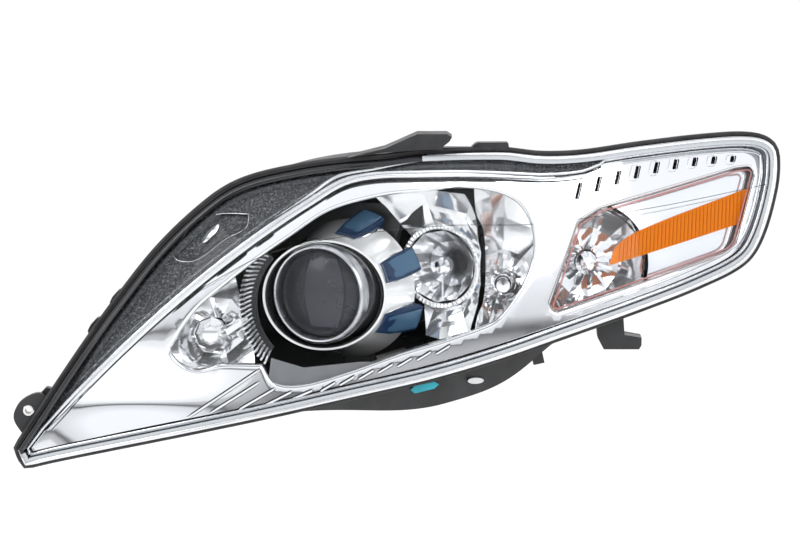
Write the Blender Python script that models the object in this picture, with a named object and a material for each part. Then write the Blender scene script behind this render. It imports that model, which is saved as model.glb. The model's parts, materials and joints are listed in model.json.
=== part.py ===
"""A left-hand car headlight: a projector low beam on a levelling carrier, a main beam bowl, a bend
light, a turn signal and a position lamp, behind one swept clear lens.

+X points outboard, -Y points forward along the beams and +Z points up. The shapes below are drawn from
the projector's swivel centre, which lies on the low beam's optical axis, in millimetres and degrees.
add_object turns them into metres and moves them into the row frame, whose origin is the mounting point
on the upper bracket's top face.

The lens, bezels and housing are drawn on a styling plane that is turned outboard by SWEEP about +Z:
s runs outboard along it, t runs up, and d is the depth out of it, towards the front.
"""

import math

import bmesh
import bpy
from mathutils import Vector

MM = 0.001
UPPER_MOUNT = (66.0, 129.0, 30.0)   # s, t and d of the row frame's origin

# Styling plane and outer lens surface
SWEEP = 24.0
CROWN_DEPTH = 95.0          # d of the lens's most forward point
CROWN_S = -100.0            # where along s that point is
CROWN_RADIUS = 838.0        # how fast the lens sweeps back on both sides
RAKE_START = -60.0          # height above which the lens leans back
RAKE_RADIUS = 400.0
FACET_SLOPE = 0.8           # how steeply the upper inner facet falls away from the crease
FACET_SOFTNESS = 3.0
FACET_END = 60.0            # the crease has left the lens before this s

# Shells: every depth is behind the lens's outer face
LENS_WALL = 3.0
SKIRT_BACK = 16.0
CHANNEL_FLOOR = 19.6
RIM_TOP = 9.0
RIM_WIDTH = 3.2
HOUSING_WALL = 2.5
HOUSING_BACK = 42.0
BELLY = (78.0, 27.0)        # s of the housing's lowest point, and how far it hangs below the lens there
REAR_Y = 118.0              # the flat rear wall behind the projector
BEZEL_INSET = 7.0
BEZEL_BACK = 14.0
DARK_BEZEL_BACK = 11.0
BEZEL_WALL = 1.6
CELL = 34.0                 # grid on which a bent sheet is divided
WELD = 0.002                # vertices closer than this are merged after a Boolean

# Projector
GLASS_RADIUS = 35.5
RETAINER_RADIUS = 41.0
BARREL_DROP = 2.0           # the chrome barrel sits this much lower than the glass
BARREL_MOUTH = 45.4         # d of the barrel's mouth, which is cut parallel to the styling plane
BARREL_WALL = 1.6
BARREL_PROFILE = [(45, -76), (45, -48), (46.2, -32), (50, -16), (54.5, -3), (57, 5)]
INSERTS = {                     # degrees round the barrel from +X, at an insert's front and at its back
    "blue_insert_upper": (79.0, 71.0),
    "blue_insert_middle": (22.0, 25.0),
    "blue_insert_lower": (-30.0, -19.0),
}
INSERT_HALF_ANGLE = 11.0
INSERT_SPAN = (-28.0, 3.0)      # y of their two ends
INSERT_BACK_RADIUS = 67.0
SHUTTER_AXIS = (4.0, -22.0)     # y and z
PLUNGER_ARM = 6.5               # how far under the shutter's axis the plunger pushes
CLIP_AXIS = (86.0, -20.0)       # y and z of the bulb clip's hinge

# Levelling carrier
TILT_AXIS = (20.0, 58.0)        # y and z of the axis, which runs along X
GIMBAL_RADIUS = 46.5
GIMBAL_WALL = 4.2
CARRIER_PLATE = (9.0, 15.0)     # y of its two faces
LEVEL_STUD = (5.0, -66.0)       # x and z of the rod that pushes the carrier
LEVEL_KNOB = (36.0, -64.0)      # x and z of the manual levelling knob
SWIVEL_STUD_X = -46.0           # x of the rod that pushes the projector round

# Lamps
MAIN_AXIS = (75.0, 18.0)        # x and z of the main beam's optical axis
MAIN_RADIUS = 30.0
MAIN_RIM_Y = 15.6
BEND_CENTRE = (132.0, 28.0)     # s and t, as for the two below
BEND_BULB = (126.0, 4.0)
SIGNAL_BULB = (195.0, 18.0)
POSITION_BULB = (-106.0, -27.0)
POSITION_CAP = (-111.0, -31.0)

# Rear openings: x, z, bore radius and y of the collar's end
LOW_OPENING = (0.0, 0.0, 42.0, 132.0)
MAIN_OPENING = (78.0, 18.0, 26.0, 130.0)
COLLAR_WALL = 3.0

# Lens edge from the tip along the top to the crease's end, then round the outboard end and back
CREASE_END = (29, 107.5)
UPPER_EDGE = [
    (-266, -124), (-237, -80), (-212, -43), (-189, -11), (-151, 36), (-110, 73), (-83, 88),
    (-40, 99), (0, 105),
]
LOWER_EDGE = [
    (60, 111), (124, 111), (157, 107), (190, 107), (240, 112), (300, 116), (335, 115), (350, 108),
    (353, 95), (350, 72), (338, 36), (324, 18), (288, 2), (239, -14), (173, -34), (124, -49),
    (67, -64), (0, -78), (-60, -91), (-122, -104), (-188, -118), (-237, -129), (-260, -135),
]
TRIM_TAIL = [                   # where the dark trim's narrow tail over the eye meets the chrome trim
    (22, 96.5), (58, 97), (95, 96.5), (130, 94.5), (160, 92.5), (190, 94), (206, 99),
]
TAIL_LENS_POINTS = 4            # points of LOWER_EDGE that the tail runs under
LENS_CENTRE = (45.0, 10.0)
EYE_OPENING = [                 # the position lamp, the projector and the bowls share it
    (-142, -45), (-138, -34), (-122, -11), (-100, 8), (-73, 29), (-48, 46), (-15, 67), (26, 78),
    (58, 81), (95, 83), (124, 78), (140, 68), (149, 50), (150, 31), (144, 11), (134, -6),
    (120, -22), (104, -29), (75, -38), (42, -47), (-3, -62), (-40, -71), (-60, -68), (-69, -54),
    (-102, -54), (-125, -58),
]
SIGNAL_OPENING = [(162, -19), (318, 27), (337, 92), (320, 91), (206, 64), (188, 54)]
SIGNAL_CORNERS = [5, 16, 5, 8, 16, 8]
TAB_HOLE = (-259, -94)
AMBER_BAR = [(213, 18), (218, 32), (226, 41), (239, 45), (332, 75), (322, 46), (272, 33)]
SLOT_COUNT = 9
FIRST_SLOT = (188.0, 79.0)
LAST_SLOT = (318.0, 99.0)
SLOT_ARCH = 6.0                 # how far the row of slots bows up in its middle

LOOKS = {                       # colour, roughness, metallic
    "chrome": ((0.86, 0.87, 0.88), 0.08, 1.0),
    "satin_metal": ((0.6, 0.61, 0.63), 0.3, 1.0),
    "clear": ((0.9, 0.93, 0.95), 0.03, 0.0),
    "black_plastic": ((0.02, 0.02, 0.022), 0.5, 0.0),
    "dark_grain": ((0.07, 0.075, 0.08), 0.7, 0.0),
    "blue_clear": ((0.05, 0.14, 0.32), 0.08, 0.0),
    "amber_clear": ((0.95, 0.35, 0.02), 0.15, 0.0),
    "rubber": ((0.03, 0.03, 0.03), 0.9, 0.0),
    "white_plastic": ((0.85, 0.86, 0.86), 0.4, 0.0),
    "teal_plastic": ((0.05, 0.55, 0.65), 0.4, 0.0),
}


# ---------------------------------------------------------------- surfaces

def on_plane(s, t, d):
    """A styling-plane point, measured from the swivel centre."""
    turn = math.radians(SWEEP)
    return Vector((
        s * math.cos(turn) + d * math.sin(turn),
        s * math.sin(turn) - d * math.cos(turn),
        t,
    ))


OUT = on_plane(0, 0, 1)         # the styling plane's normal, towards the front


def crease_height(s):
    """t of the crease that parts the lens's main face from its upper inner facet."""
    return -133 + 0.993 * (s + 268) - 0.001214 * (s + 268) * (s + 122)


def soft_ramp(x, width):
    """0 below -width, x above width, and smooth between."""
    if x <= -width:
        return 0.0
    if x >= width:
        return x
    return (x + width) ** 2 / (4 * width)


def lens_depth(s, t):
    """d of the lens's outer face."""
    depth = CROWN_DEPTH - (s - CROWN_S) ** 2 / (2 * CROWN_RADIUS)
    depth -= max(0.0, t - RAKE_START) ** 2 / (2 * RAKE_RADIUS)
    if s < FACET_END:
        steepness = 0.993 - 0.001214 * (2 * s + 390)
        above = (t - crease_height(s)) / math.hypot(1, steepness)
        depth -= FACET_SLOPE * soft_ramp(above, FACET_SOFTNESS)
    return depth


def bump(s, t, centre, reach, power=4):
    """1 at the centre, falling smoothly to 0 past reach."""
    return math.exp(-abs((s - centre[0]) / reach[0]) ** power - abs((t - centre[1]) / reach[1]) ** power)


def bowl(s, t, centre, reach):
    """1 at the centre of an elliptical bowl, and 0 from its rim outwards."""
    inside = 1 - ((s - centre[0]) / reach[0]) ** 2 - ((t - centre[1]) / reach[1]) ** 2
    return max(0.0, inside) ** 0.7


def behind_lens(back):
    """A surface that follows the lens at a fixed distance."""
    return lambda s, t: lens_depth(s, t) - back


def bezel_depth(s, t):
    """The chrome bezel's face: a scoop at the inner end, and a shallow dish round the openings."""
    scoop = 9 * bump(s, t, (-175, -85), (60, 26), 2)
    dish = 5 * bump(s, t, (0, 5), (150, 90))
    return lens_depth(s, t) - BEZEL_BACK - scoop - dish


def bend_depth(s, t):
    return lens_depth(s, t) - 25 - 36 * bowl(s, t, BEND_CENTRE, (34, 62))


def position_depth(s, t):
    return lens_depth(s, t) - 28 - 26 * bowl(s, t, (-104, -24), (44, 46))


def signal_depth(s, t):
    return lens_depth(s, t) - 30 - 30 * bowl(s, t, SIGNAL_BULB, (52, 52))


def housing_depth(s, t):
    """The housing's outer back: a flat rear wall behind the projector, which falls away inboard and
    outboard to two lower bumps behind the position lamp and the turn signal."""
    inner = 44 * bump(s, t, (-100, -15), (58, 60))
    outer = 36 * bump(s, t, (245, 35), (90, 50))
    shallow = lens_depth(s, t) - HOUSING_BACK - inner - outer
    turn = math.radians(SWEEP)
    flat = s * math.tan(turn) - REAR_Y / math.cos(turn)
    share = math.exp(-((s - 66) / 126) ** 4)
    return shallow + (flat - shallow) * share


# ---------------------------------------------------------------- outlines

def vectors(points):
    return [Vector(p) for p in points]


def lens_loop():
    return vectors(UPPER_EDGE + [CREASE_END] + LOWER_EDGE)


def signed_area(loop):
    return sum(a.x * b.y - b.x * a.y for a, b in zip(loop, loop[1:] + loop[:1])) / 2


def offset_loop(loop, distance):
    """The loop with every edge moved outwards by distance, mitred at its corners."""
    side = 1 if signed_area(loop) > 0 else -1
    moved = []
    for i, corner in enumerate(loop):
        before = (corner - loop[i - 1]).normalized()
        after = (loop[(i + 1) % len(loop)] - corner).normalized()
        middle = (before + after).normalized()
        reach = distance / max(0.4, middle.dot(before))
        moved.append(corner + Vector((middle.y, -middle.x)) * side * reach)
    return moved


def rounded_loop(points, radii, steps=2):
    """A closed polygon whose corners are arcs of the given radii."""
    corners = vectors(points)
    loop = []
    for i, corner in enumerate(corners):
        before = (corners[i - 1] - corner).normalized()
        after = (corners[(i + 1) % len(corners)] - corner).normalized()
        half = before.angle(after) / 2
        centre = corner + (before + after).normalized() * radii[i] / math.sin(half)
        start = corner + before * radii[i] / math.tan(half) - centre
        end = corner + after * radii[i] / math.tan(half) - centre
        for j in range(steps + 1):
            spoke = start.lerp(end, j / steps).normalized() * radii[i]
            loop.append(centre + spoke)
    return loop


def circle(centre, radius, count=12):
    turns = [2 * math.pi * i / count for i in range(count)]
    return [Vector((centre[0] + radius * math.cos(a), centre[1] + radius * math.sin(a))) for a in turns]


def crease_points(first, last, lift):
    """Points along the crease, moved up by lift."""
    count = round(abs(last - first) / 28)
    along = [first + (last - first) * i / count for i in range(count + 1)]
    return [Vector((s, crease_height(s) + lift)) for s in along]


def slot_outlines():
    """The row of slots in the bezel: leaning quadrilaterals that get shorter outboard."""
    slots = []
    for i in range(SLOT_COUNT):
        along = i / (SLOT_COUNT - 1)
        s = FIRST_SLOT[0] + along * (LAST_SLOT[0] - FIRST_SLOT[0])
        t = FIRST_SLOT[1] + along * (LAST_SLOT[1] - FIRST_SLOT[1]) + SLOT_ARCH * math.sin(math.pi * along)
        tall = 6.5 - 4.0 * along
        wide = 1.9 + 0.5 * along
        lean = 0.25 * tall
        slots.append(vectors([(s - wide - lean, t - tall), (s + wide - lean, t - tall),
                              (s + wide + lean, t + tall), (s - wide + lean, t + tall)]))
    return slots


# ---------------------------------------------------------------- mesh helpers

def material(name):
    """One Principled material for each look."""
    found = bpy.data.materials.get(name)
    if found:
        return found
    colour, roughness, metallic = LOOKS[name]
    made = bpy.data.materials.new(name)
    made.use_nodes = True
    shader = made.node_tree.nodes["Principled BSDF"]
    shader.inputs["Base Color"].default_value = (*colour, 1)
    shader.inputs["Roughness"].default_value = roughness
    shader.inputs["Metallic"].default_value = metallic
    return made


def add_object(name, bm, look, smooth_below=35.0):
    """Turns bm, drawn in millimetres from the swivel centre, into a named object in the row frame."""
    bmesh.ops.recalc_face_normals(bm, faces=bm.faces)
    bmesh.ops.translate(bm, vec=-on_plane(*UPPER_MOUNT), verts=bm.verts)
    bmesh.ops.scale(bm, vec=(MM, MM, MM), verts=bm.verts)
    mesh = bpy.data.meshes.new(name)
    bm.to_mesh(mesh)
    bm.free()
    mesh.shade_smooth()
    mesh.set_sharp_from_angle(angle=math.radians(smooth_below))
    mesh.materials.append(material(look))
    made = bpy.data.objects.new(name, mesh)
    bpy.context.scene.collection.objects.link(made)
    return made


def combine(target, tool, operation):
    """Applies a Boolean of tool to target, and removes tool."""
    modifier = target.modifiers.new(operation, "BOOLEAN")
    modifier.operation = operation
    modifier.object = tool
    bpy.context.view_layer.update()
    graph = bpy.context.evaluated_depsgraph_get()
    bm = bmesh.new()
    bm.from_object(target, graph)
    target.modifiers.clear()
    bmesh.ops.remove_doubles(bm, verts=bm.verts, dist=WELD * MM)
    bmesh.ops.dissolve_degenerate(bm, edges=bm.edges, dist=WELD * MM)
    bm.to_mesh(target.data)
    bm.free()
    bpy.data.objects.remove(tool)
    return target


def join(target, *tools):
    for tool in tools:
        combine(target, tool, "UNION")
    return target


def cut(target, *tools):
    for tool in tools:
        combine(target, tool, "DIFFERENCE")
    return target


def skin(bm, rings):
    """Triangles between rings of equal length, each ring a closed loop of vertices."""
    for a, b in zip(rings, rings[1:]):
        for i in range(len(a)):
            j = (i + 1) % len(a)
            bm.faces.new((a[i], a[j], b[j]))
            bm.faces.new((a[i], b[j], b[i]))


def turned(name, profile, look, place=(0, 0, 0), axis=(0, 1, 0), segments=20, ring=False):
    """A body of revolution. The profile holds (radius, distance along axis). It starts and ends on the
    axis, or, for a ring, it closes on itself."""
    bm = bmesh.new()
    frame = Vector((0, 0, 1)).rotation_difference(Vector(axis)).to_matrix()
    loops = []
    for radius, along in profile:
        count = segments if radius > 1e-6 else 1
        turns = [2 * math.pi * (i + 0.5) / segments for i in range(count)]
        loops.append([
            bm.verts.new(frame @ Vector((radius * math.cos(a), radius * math.sin(a), along)) + Vector(place))
            for a in turns
        ])
    following = loops[1:] + loops[:1] if ring else loops[1:]
    for a, b in zip(loops, following):
        for i in range(segments):
            j = (i + 1) % segments
            corners = [a[i % len(a)], a[j % len(a)], b[j % len(b)], b[i % len(b)]]
            bm.faces.new(list(dict.fromkeys(corners)))
    return add_object(name, bm, look)


def tube(name, inner, outer, start, end, look, place=(0, 0, 0), axis=(0, 1, 0), segments=20):
    """A plain pipe between two distances along its axis."""
    profile = [(inner, start), (outer, start), (outer, end), (inner, end)]
    return turned(name, profile, look, place, axis, segments, ring=True)


def rod(name, radius, start, end, look, place=(0, 0, 0), axis=(0, 1, 0), segments=12, chamfer=0.0):
    """A solid pin, with chamfered ends if asked."""
    if chamfer:
        edge = [(radius - chamfer, start), (radius, start + chamfer), (radius, end - chamfer),
                (radius - chamfer, end)]
    else:
        edge = [(radius, start), (radius, end)]
    return turned(name, [(0, start)] + edge + [(0, end)], look, place, axis, segments)


def ball_stud(name, place, ball, shaft, length, look):
    """A ball centred on place, with a shaft that leaves it along +Y."""
    profile = [(0, -ball)]
    for turn in (-50, -15, 20, 50):
        profile.append((ball * math.cos(math.radians(turn)), ball * math.sin(math.radians(turn))))
    profile += [(shaft, ball), (shaft, length), (0, length)]
    return turned(name, profile, look, place, (0, 1, 0), 12)


def block(name, low, high, look, bevel=1.0):
    """A box between two corners, with bevelled edges."""
    bm = bmesh.new()
    bmesh.ops.create_cube(bm, size=1)
    low, high = Vector(low), Vector(high)
    bmesh.ops.scale(bm, vec=high - low, verts=bm.verts)
    bmesh.ops.translate(bm, vec=(low + high) / 2, verts=bm.verts)
    if bevel:
        bmesh.ops.bevel(bm, geom=bm.edges[:], offset=bevel, segments=1, affect="EDGES")
    return add_object(name, bm, look, 20)


def prism(name, outline, place, look):
    """A solid between two copies of an outline. place(u, v, side) gives a point, for side 0 or 1."""
    bm = bmesh.new()
    rings = [[bm.verts.new(place(p[0], p[1], side)) for p in outline] for side in (0, 1)]
    skin(bm, rings)
    for ring in rings:
        bm.faces.new(ring)
    return add_object(name, bm, look, 25)


def plate_on_plane(front, back):
    """A prism placer between two depths of the styling plane."""
    return lambda s, t, side: on_plane(s, t, back if side else front)


def plate_across(front, back):
    """A prism placer between two planes of constant y."""
    return lambda x, z, side: Vector((x, back if side else front, z))


def filled(outlines, holes):
    """Flat regions with holes, cut along a grid so that they can be bent."""
    bm = bmesh.new()
    for outline in outlines:
        part = bmesh.new()
        for loop in [outline] + holes:
            verts = [part.verts.new((p.x, p.y, 0)) for p in loop]
            for i, vert in enumerate(verts):
                part.edges.new((vert, verts[(i + 1) % len(verts)]))
        bmesh.ops.triangle_fill(part, use_beauty=True, use_dissolve=False, edges=part.edges[:])
        bmesh.ops.dissolve_limit(part, angle_limit=0.01, verts=part.verts[:], edges=part.edges[:])
        mesh = bpy.data.meshes.new("part")
        part.to_mesh(mesh)
        part.free()
        bm.from_mesh(mesh)
        bpy.data.meshes.remove(mesh)
    bmesh.ops.remove_doubles(bm, verts=bm.verts, dist=0.01)
    for axis in (0, 1):
        values = [p[axis] for outline in outlines for p in outline]
        normal = Vector((1 - axis, axis, 0))
        for k in range(math.ceil(min(values) / CELL), math.floor(max(values) / CELL) + 1):
            everything = bm.verts[:] + bm.edges[:] + bm.faces[:]
            bmesh.ops.bisect_plane(bm, geom=everything, dist=0.01, plane_co=normal * k * CELL, plane_no=normal)
    bmesh.ops.triangulate(bm, faces=bm.faces[:])
    return bm


def sheet(name, outlines, holes, depth, wall, look):
    """A bent sheet whose face lies at d = depth(s, t), with its wall behind that."""
    flat = filled(outlines, holes)
    flat.verts.index_update()
    bm = bmesh.new()
    front = [bm.verts.new(on_plane(v.co.x, v.co.y, depth(v.co.x, v.co.y))) for v in flat.verts]
    back = [bm.verts.new(on_plane(v.co.x, v.co.y, depth(v.co.x, v.co.y) - wall)) for v in flat.verts]
    for face in flat.faces:
        corners = [v.index for v in face.verts]
        bm.faces.new([front[i] for i in corners])
        bm.faces.new([back[i] for i in reversed(corners)])
    for edge in flat.edges:
        if len(edge.link_faces) == 1:
            a, b = (v.index for v in edge.verts)
            bm.faces.new((front[a], front[b], back[b], back[a]))
    flat.free()
    return add_object(name, bm, look, 25)


def edge_rings(bm, loop, layers):
    """Rings round the lens for a shell. Each layer is (offset, share, depth): the loop is moved out by
    offset and drawn in towards LENS_CENTRE to share, and depth(s, t, edge) gives d."""
    rings = []
    centre = Vector(LENS_CENTRE)
    edges = lens_loop()
    for offset, share, depth in layers:
        ring = []
        for edge, point in zip(edges, offset_loop(loop, offset)):
            p = centre + (point - centre) * share
            ring.append(bm.verts.new(on_plane(p.x, p.y, depth(p.x, p.y, edge))))
        rings.append(ring)
    return rings


def behind_edge(back):
    """A depth rule: this far behind the lens's face at its edge."""
    return lambda s, t, edge: lens_depth(edge.x, edge.y) - back


# ---------------------------------------------------------------- outer shells

def outer_lens():
    """The clear lens, with a skirt that sits in the housing's glue channel."""
    crease = crease_points(-252, 3, 0)
    lower = vectors([CREASE_END] + LOWER_EDGE + UPPER_EDGE[:1]) + crease
    upper = vectors(UPPER_EDGE + [CREASE_END]) + crease[::-1]
    lens = sheet("outer_lens", [lower, upper], [], behind_lens(0), LENS_WALL, "clear")
    bm = bmesh.new()
    rings = edge_rings(bm, lens_loop(), [(0.2, 1, behind_edge(1.5)), (0.2, 1, behind_edge(SKIRT_BACK)),
                                         (-2.8, 1, behind_edge(SKIRT_BACK)), (-2.8, 1, behind_edge(1.5))])
    skin(bm, rings + rings[:1])
    join(lens, add_object("skirt", bm, "clear"))


def lens_sealant():
    """The bead of sealant in the glue channel."""
    bm = bmesh.new()
    rings = edge_rings(bm, lens_loop(), [(-3.2, 1, behind_edge(17.4)), (0.4, 1, behind_edge(17.4)),
                                         (0.4, 1, behind_edge(19.1)), (-3.2, 1, behind_edge(19.1))])
    skin(bm, rings + rings[:1])
    add_object("lens_sealant", bm, "rubber")


def housing_waist():
    """The lens outline, with the housing's belly hanging lower under the projector."""
    waist = []
    for p in lens_loop():
        from_lowest = p.x - BELLY[0]
        rise = (from_lowest / 60) ** 4 if from_lowest > 0 else (from_lowest / 95) ** 2
        hang_below = BELLY[1] * math.exp(-rise) if p.y < LENS_CENTRE[1] else 0
        waist.append(Vector((p.x, p.y - hang_below)))
    return waist


def fan(bm, ring, hub):
    for i, vert in enumerate(ring):
        bm.faces.new((vert, ring[(i + 1) % len(ring)], hub))


def housing_body():
    """The shell itself: its outside, an inside one wall thickness away, and the glue channel between."""
    def towards_back(share):
        return lambda s, t, edge: (1 - share) * (lens_depth(edge.x, edge.y) - 28) + share * housing_depth(s, t)

    bm = bmesh.new()
    rim = 0.9 + RIM_WIDTH
    outside = edge_rings(bm, lens_loop(), [(rim, 1, behind_edge(24))])
    outside += edge_rings(bm, housing_waist(), [(2, 1, behind_edge(28))] + [
        (0, share, towards_back(blend))
        for share, blend in ((0.985, 0.6), (0.93, 0.9), (0.82, 1), (0.64, 1), (0.44, 1), (0.22, 1))])
    hub = bm.verts.new(on_plane(*LENS_CENTRE, housing_depth(*LENS_CENTRE)))
    skin(bm, outside)
    fan(bm, outside[-1], hub)
    bmesh.ops.recalc_face_normals(bm, faces=bm.faces)
    bm.normal_update()
    inward = math.copysign(HOUSING_WALL, hub.normal.dot(OUT))
    inside = [[bm.verts.new(v.co + v.normal * inward) for v in ring] for ring in outside[1:]]
    channel = edge_rings(bm, lens_loop(), [
        (rim, 1, behind_edge(RIM_TOP)), (0.9, 1, behind_edge(RIM_TOP)), (0.9, 1, behind_edge(CHANNEL_FLOOR)),
        (-3.7, 1, behind_edge(CHANNEL_FLOOR)), (-3.7, 1, behind_edge(12)), (-5.7, 1, behind_edge(12)),
        (-5.7, 1, behind_edge(28)),
    ])
    skin(bm, outside[:1] + channel + inside)
    fan(bm, inside[-1], bm.verts.new(hub.co + hub.normal * inward))
    return add_object("housing_shell", bm, "black_plastic")


def collar(shell, bore, start, end, place, axis, segments):
    """Adds a round collar, open from end to end, to the shell's wall."""
    join(shell, rod("collar", bore + COLLAR_WALL, start, end, "black_plastic", place, axis, segments))
    cut(shell, rod("bore", bore, start - 20, end + 5, "black_plastic", place, axis, segments))


def tilt_post(low_x, high_x, pin_start, pin_end, back):
    """A post from the rear wall that carries one of the carrier's two pivot pins."""
    y, z = TILT_AXIS
    post = block("post", (low_x, y - 3.8, z - 5), (high_x, back, z + 5), "black_plastic", 0)
    pin = rod("pin", 3.6, pin_start, pin_end, "black_plastic", (0, y, z), (1, 0, 0))
    return join(post, pin)


def housing_shell():
    shell = housing_body()
    for x, z, bore, end in (LOW_OPENING, MAIN_OPENING):
        collar(shell, bore, end - 30, end, (x, 0, z), (0, 1, 0), 28)
    collar(shell, 16, 42, 62, on_plane(*SIGNAL_BULB, 0), -OUT, 16)
    collar(shell, 10, -8, 20, on_plane(*POSITION_BULB, 0), -OUT, 16)
    join(shell, tilt_post(-68, -59, -60, -41, 90), tilt_post(64, 73, 49, 65, 116))
    pad = [(97, 113.5), (104, 120), (130, 120), (131, 113)]
    join(shell, prism("pad", pad, plate_on_plane(24, 10), "black_plastic"))
    cut(shell, rod("motor_hole", 12.8, 90, 140, "black_plastic", (LEVEL_STUD[0], 0, LEVEL_STUD[1]), segments=16))
    tab = [(-263, -115), (-271, -101), (-268, -90), (-260, -83), (-250, -80), (-243, -84.5)]
    join(shell, prism("tab", tab, plate_on_plane(60, 53), "black_plastic"))
    cut(shell, rod("tab_hole", 4.6, 45, 65, "black_plastic", on_plane(*TAB_HOLE, 0), OUT))


def bezels():
    inner = offset_loop(lens_loop(), -BEZEL_INSET)
    tail = vectors(TRIM_TAIL)
    gap = Vector((0, 1.5))
    split = len(UPPER_EDGE) + 1 + TAIL_LENS_POINTS
    chrome_outline = inner[split:] + crease_points(-246, -4, -1.5) + [p - gap for p in tail]
    window = rounded_loop(SIGNAL_OPENING, SIGNAL_CORNERS)
    holes = [vectors(EYE_OPENING), window] + slot_outlines()
    sheet("chrome_bezel", [chrome_outline], holes, bezel_depth, BEZEL_WALL, "chrome")
    dark_outline = inner[1:split] + [p + gap for p in reversed(tail)] + crease_points(-4, -242, 1.5)
    sheet("dark_bezel", [dark_outline], [], behind_lens(DARK_BEZEL_BACK), BEZEL_WALL, "dark_grain")


def marker_reflector():
    """The small oval reflector in the dark bezel."""
    bm = bmesh.new()
    rings = []
    for share, lift in ((1, 0.6), (1, 1.6), (0.6, 2.8)):
        ring = []
        for p in circle((0, 0), share, 12):
            s, t = -111 + 5.5 * p.x + 4 * p.y, 49 + 6.5 * p.y + 3 * p.x
            ring.append(bm.verts.new(on_plane(s, t, lens_depth(s, t) - DARK_BEZEL_BACK + lift)))
        rings.append(ring)
    skin(bm, rings)
    bm.faces.new(rings[0])
    bm.faces.new(rings[-1])
    add_object("marker_reflector", bm, "chrome")


def rib_louver():
    """The ribbed wall between the position lamp and the barrel, which falls back to the barrel's side."""
    stations = [(-87, 15, 15), (-84, 5, 9), (-81, -6, 5.5), (-77, -22, 6), (-73, -37, 10), (-70, -51, 14)]
    bm = bmesh.new()
    rings = []
    for s, t, width in stations:
        face = bezel_depth(s, t) - 1
        ring = [(0, 0), (width, -22), (width - 1.5, -22.5), (-1.2, -1.5)]
        rings.append([bm.verts.new(on_plane(s + ds, t, face + dd)) for ds, dd in ring])
    skin(bm, rings)
    bm.faces.new(rings[0])
    bm.faces.new(rings[-1])
    add_object("rib_louver", bm, "chrome", 25)


def grained_shelf():
    """The dark sill under the barrel, behind the eye opening's lower edge."""
    outline = [(-62, -50), (-64, -66), (-58, -75), (-38, -77), (0, -68), (38, -55), (10, -54), (-36, -58)]
    sheet("grained_shelf", [vectors(outline)], [], behind_lens(24), 2, "dark_grain")


def brackets():
    upper = [(0, 110), (30, 117.5), (56, 129), (80, 129), (84, 126.5), (82, 123), (77, 119), (77, 116.5),
             (60, 116.2), (30, 114)]
    prism("upper_bracket", upper, plate_on_plane(44, 16), "black_plastic")
    lower = [(203, -31.5), (204, -42), (209, -51.5), (238, -51.5), (240, -48), (240, -42), (226, -39.5),
             (225, -24.5)]
    prism("lower_bracket", lower, plate_on_plane(8, -16), "black_plastic")
    clip = [(149, -54), (151, -62), (160, -60), (158, -51)]
    prism("wire_clip", clip, plate_on_plane(26, 8), "black_plastic")
    place = on_plane(*TAB_HOLE, 0)
    tube("tab_bush", 2.8, 4.2, 50, 63, "white_plastic", place, OUT, 12)


def rear_fittings():
    turned("vent_cap", [(0, 119.4), (9, 119.4), (9, 126), (7, 128), (0, 128)], "rubber", (-34, 0, -48))
    block("harness_connector", (114, 121, -34), (136, 138, -16), "black_plastic", 1.5)
    plug = [(50.5, -77.5), (54, -80.3), (70, -76.3), (73.5, -73), (70, -70.7), (54, -74.2)]
    prism("drain_plug", plug, plate_on_plane(60, 57), "teal_plastic")


# ---------------------------------------------------------------- projector

def projector_glass():
    profile = [(0, -67), (12, -66), (22, -63.4), (30, -59.4), (GLASS_RADIUS, -54),
               (GLASS_RADIUS, -51), (0, -51)]
    turned("projector_glass", profile, "clear", segments=28)


def retainer_ring():
    inner = GLASS_RADIUS + 0.6
    profile = [(inner, -50), (inner, -56), (37, -60.5), (39.5, -61), (RETAINER_RADIUS, -58), (RETAINER_RADIUS, -50)]
    turned("retainer_ring", profile, "satin_metal", segments=28, ring=True)


def lens_holder():
    """The dark tube that carries the glass, and the barrel round it."""
    profile = [(36, -49.4), (40.6, -49.4), (41.2, -10), (38, -10), (38, -46), (36, -46)]
    turned("lens_holder", profile, "black_plastic", segments=28, ring=True)


def barrel_radius(y):
    """The chrome barrel's outer radius."""
    for (r0, y0), (r1, y1) in zip(BARREL_PROFILE, BARREL_PROFILE[1:]):
        if y <= y1:
            return r0 + (r1 - r0) * (y - y0) / (y1 - y0)
    return BARREL_PROFILE[-1][0]


def barrel_shroud():
    inside = [(r - BARREL_WALL, y) for r, y in BARREL_PROFILE[::-1]]
    barrel = turned("barrel_shroud", BARREL_PROFILE + inside, "chrome", (0, 0, -BARREL_DROP),
                    segments=32, ring=True)
    square = [(-150, -100), (50, -100), (50, 100), (-150, 100)]
    cut(barrel, prism("mouth", square, plate_on_plane(BARREL_MOUTH + 60, BARREL_MOUTH), "chrome"))


def blue_inserts():
    """Three translucent wedges on the barrel's flare, which stand prouder of it towards the back."""
    start, end = INSERT_SPAN
    front_radius = barrel_radius(start) + 2.5
    for name, (front_angle, back_angle) in INSERTS.items():
        bm = bmesh.new()
        rings = []
        for along, half in ((0, 0.9), (0.35, 1), (0.75, 0.95), (1, 0.85)):
            y = start + along * (end - start)
            middle = math.radians(front_angle + along * (back_angle - front_angle))
            base = barrel_radius(y) + 0.7
            top = front_radius + along * (INSERT_BACK_RADIUS - front_radius)
            ring = []
            for r, side in ((base, -1), (base, -0.35), (base, 0.35), (base, 1), (top, 0.9), (top, -0.9)):
                turn = middle + math.radians(INSERT_HALF_ANGLE * half * side)
                ring.append(bm.verts.new((r * math.cos(turn), y, r * math.sin(turn) - BARREL_DROP)))
            rings.append(ring)
        skin(bm, rings)
        bm.faces.new(rings[0])
        bm.faces.new(rings[-1])
        add_object(name, bm, "blue_clear", 20)


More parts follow.
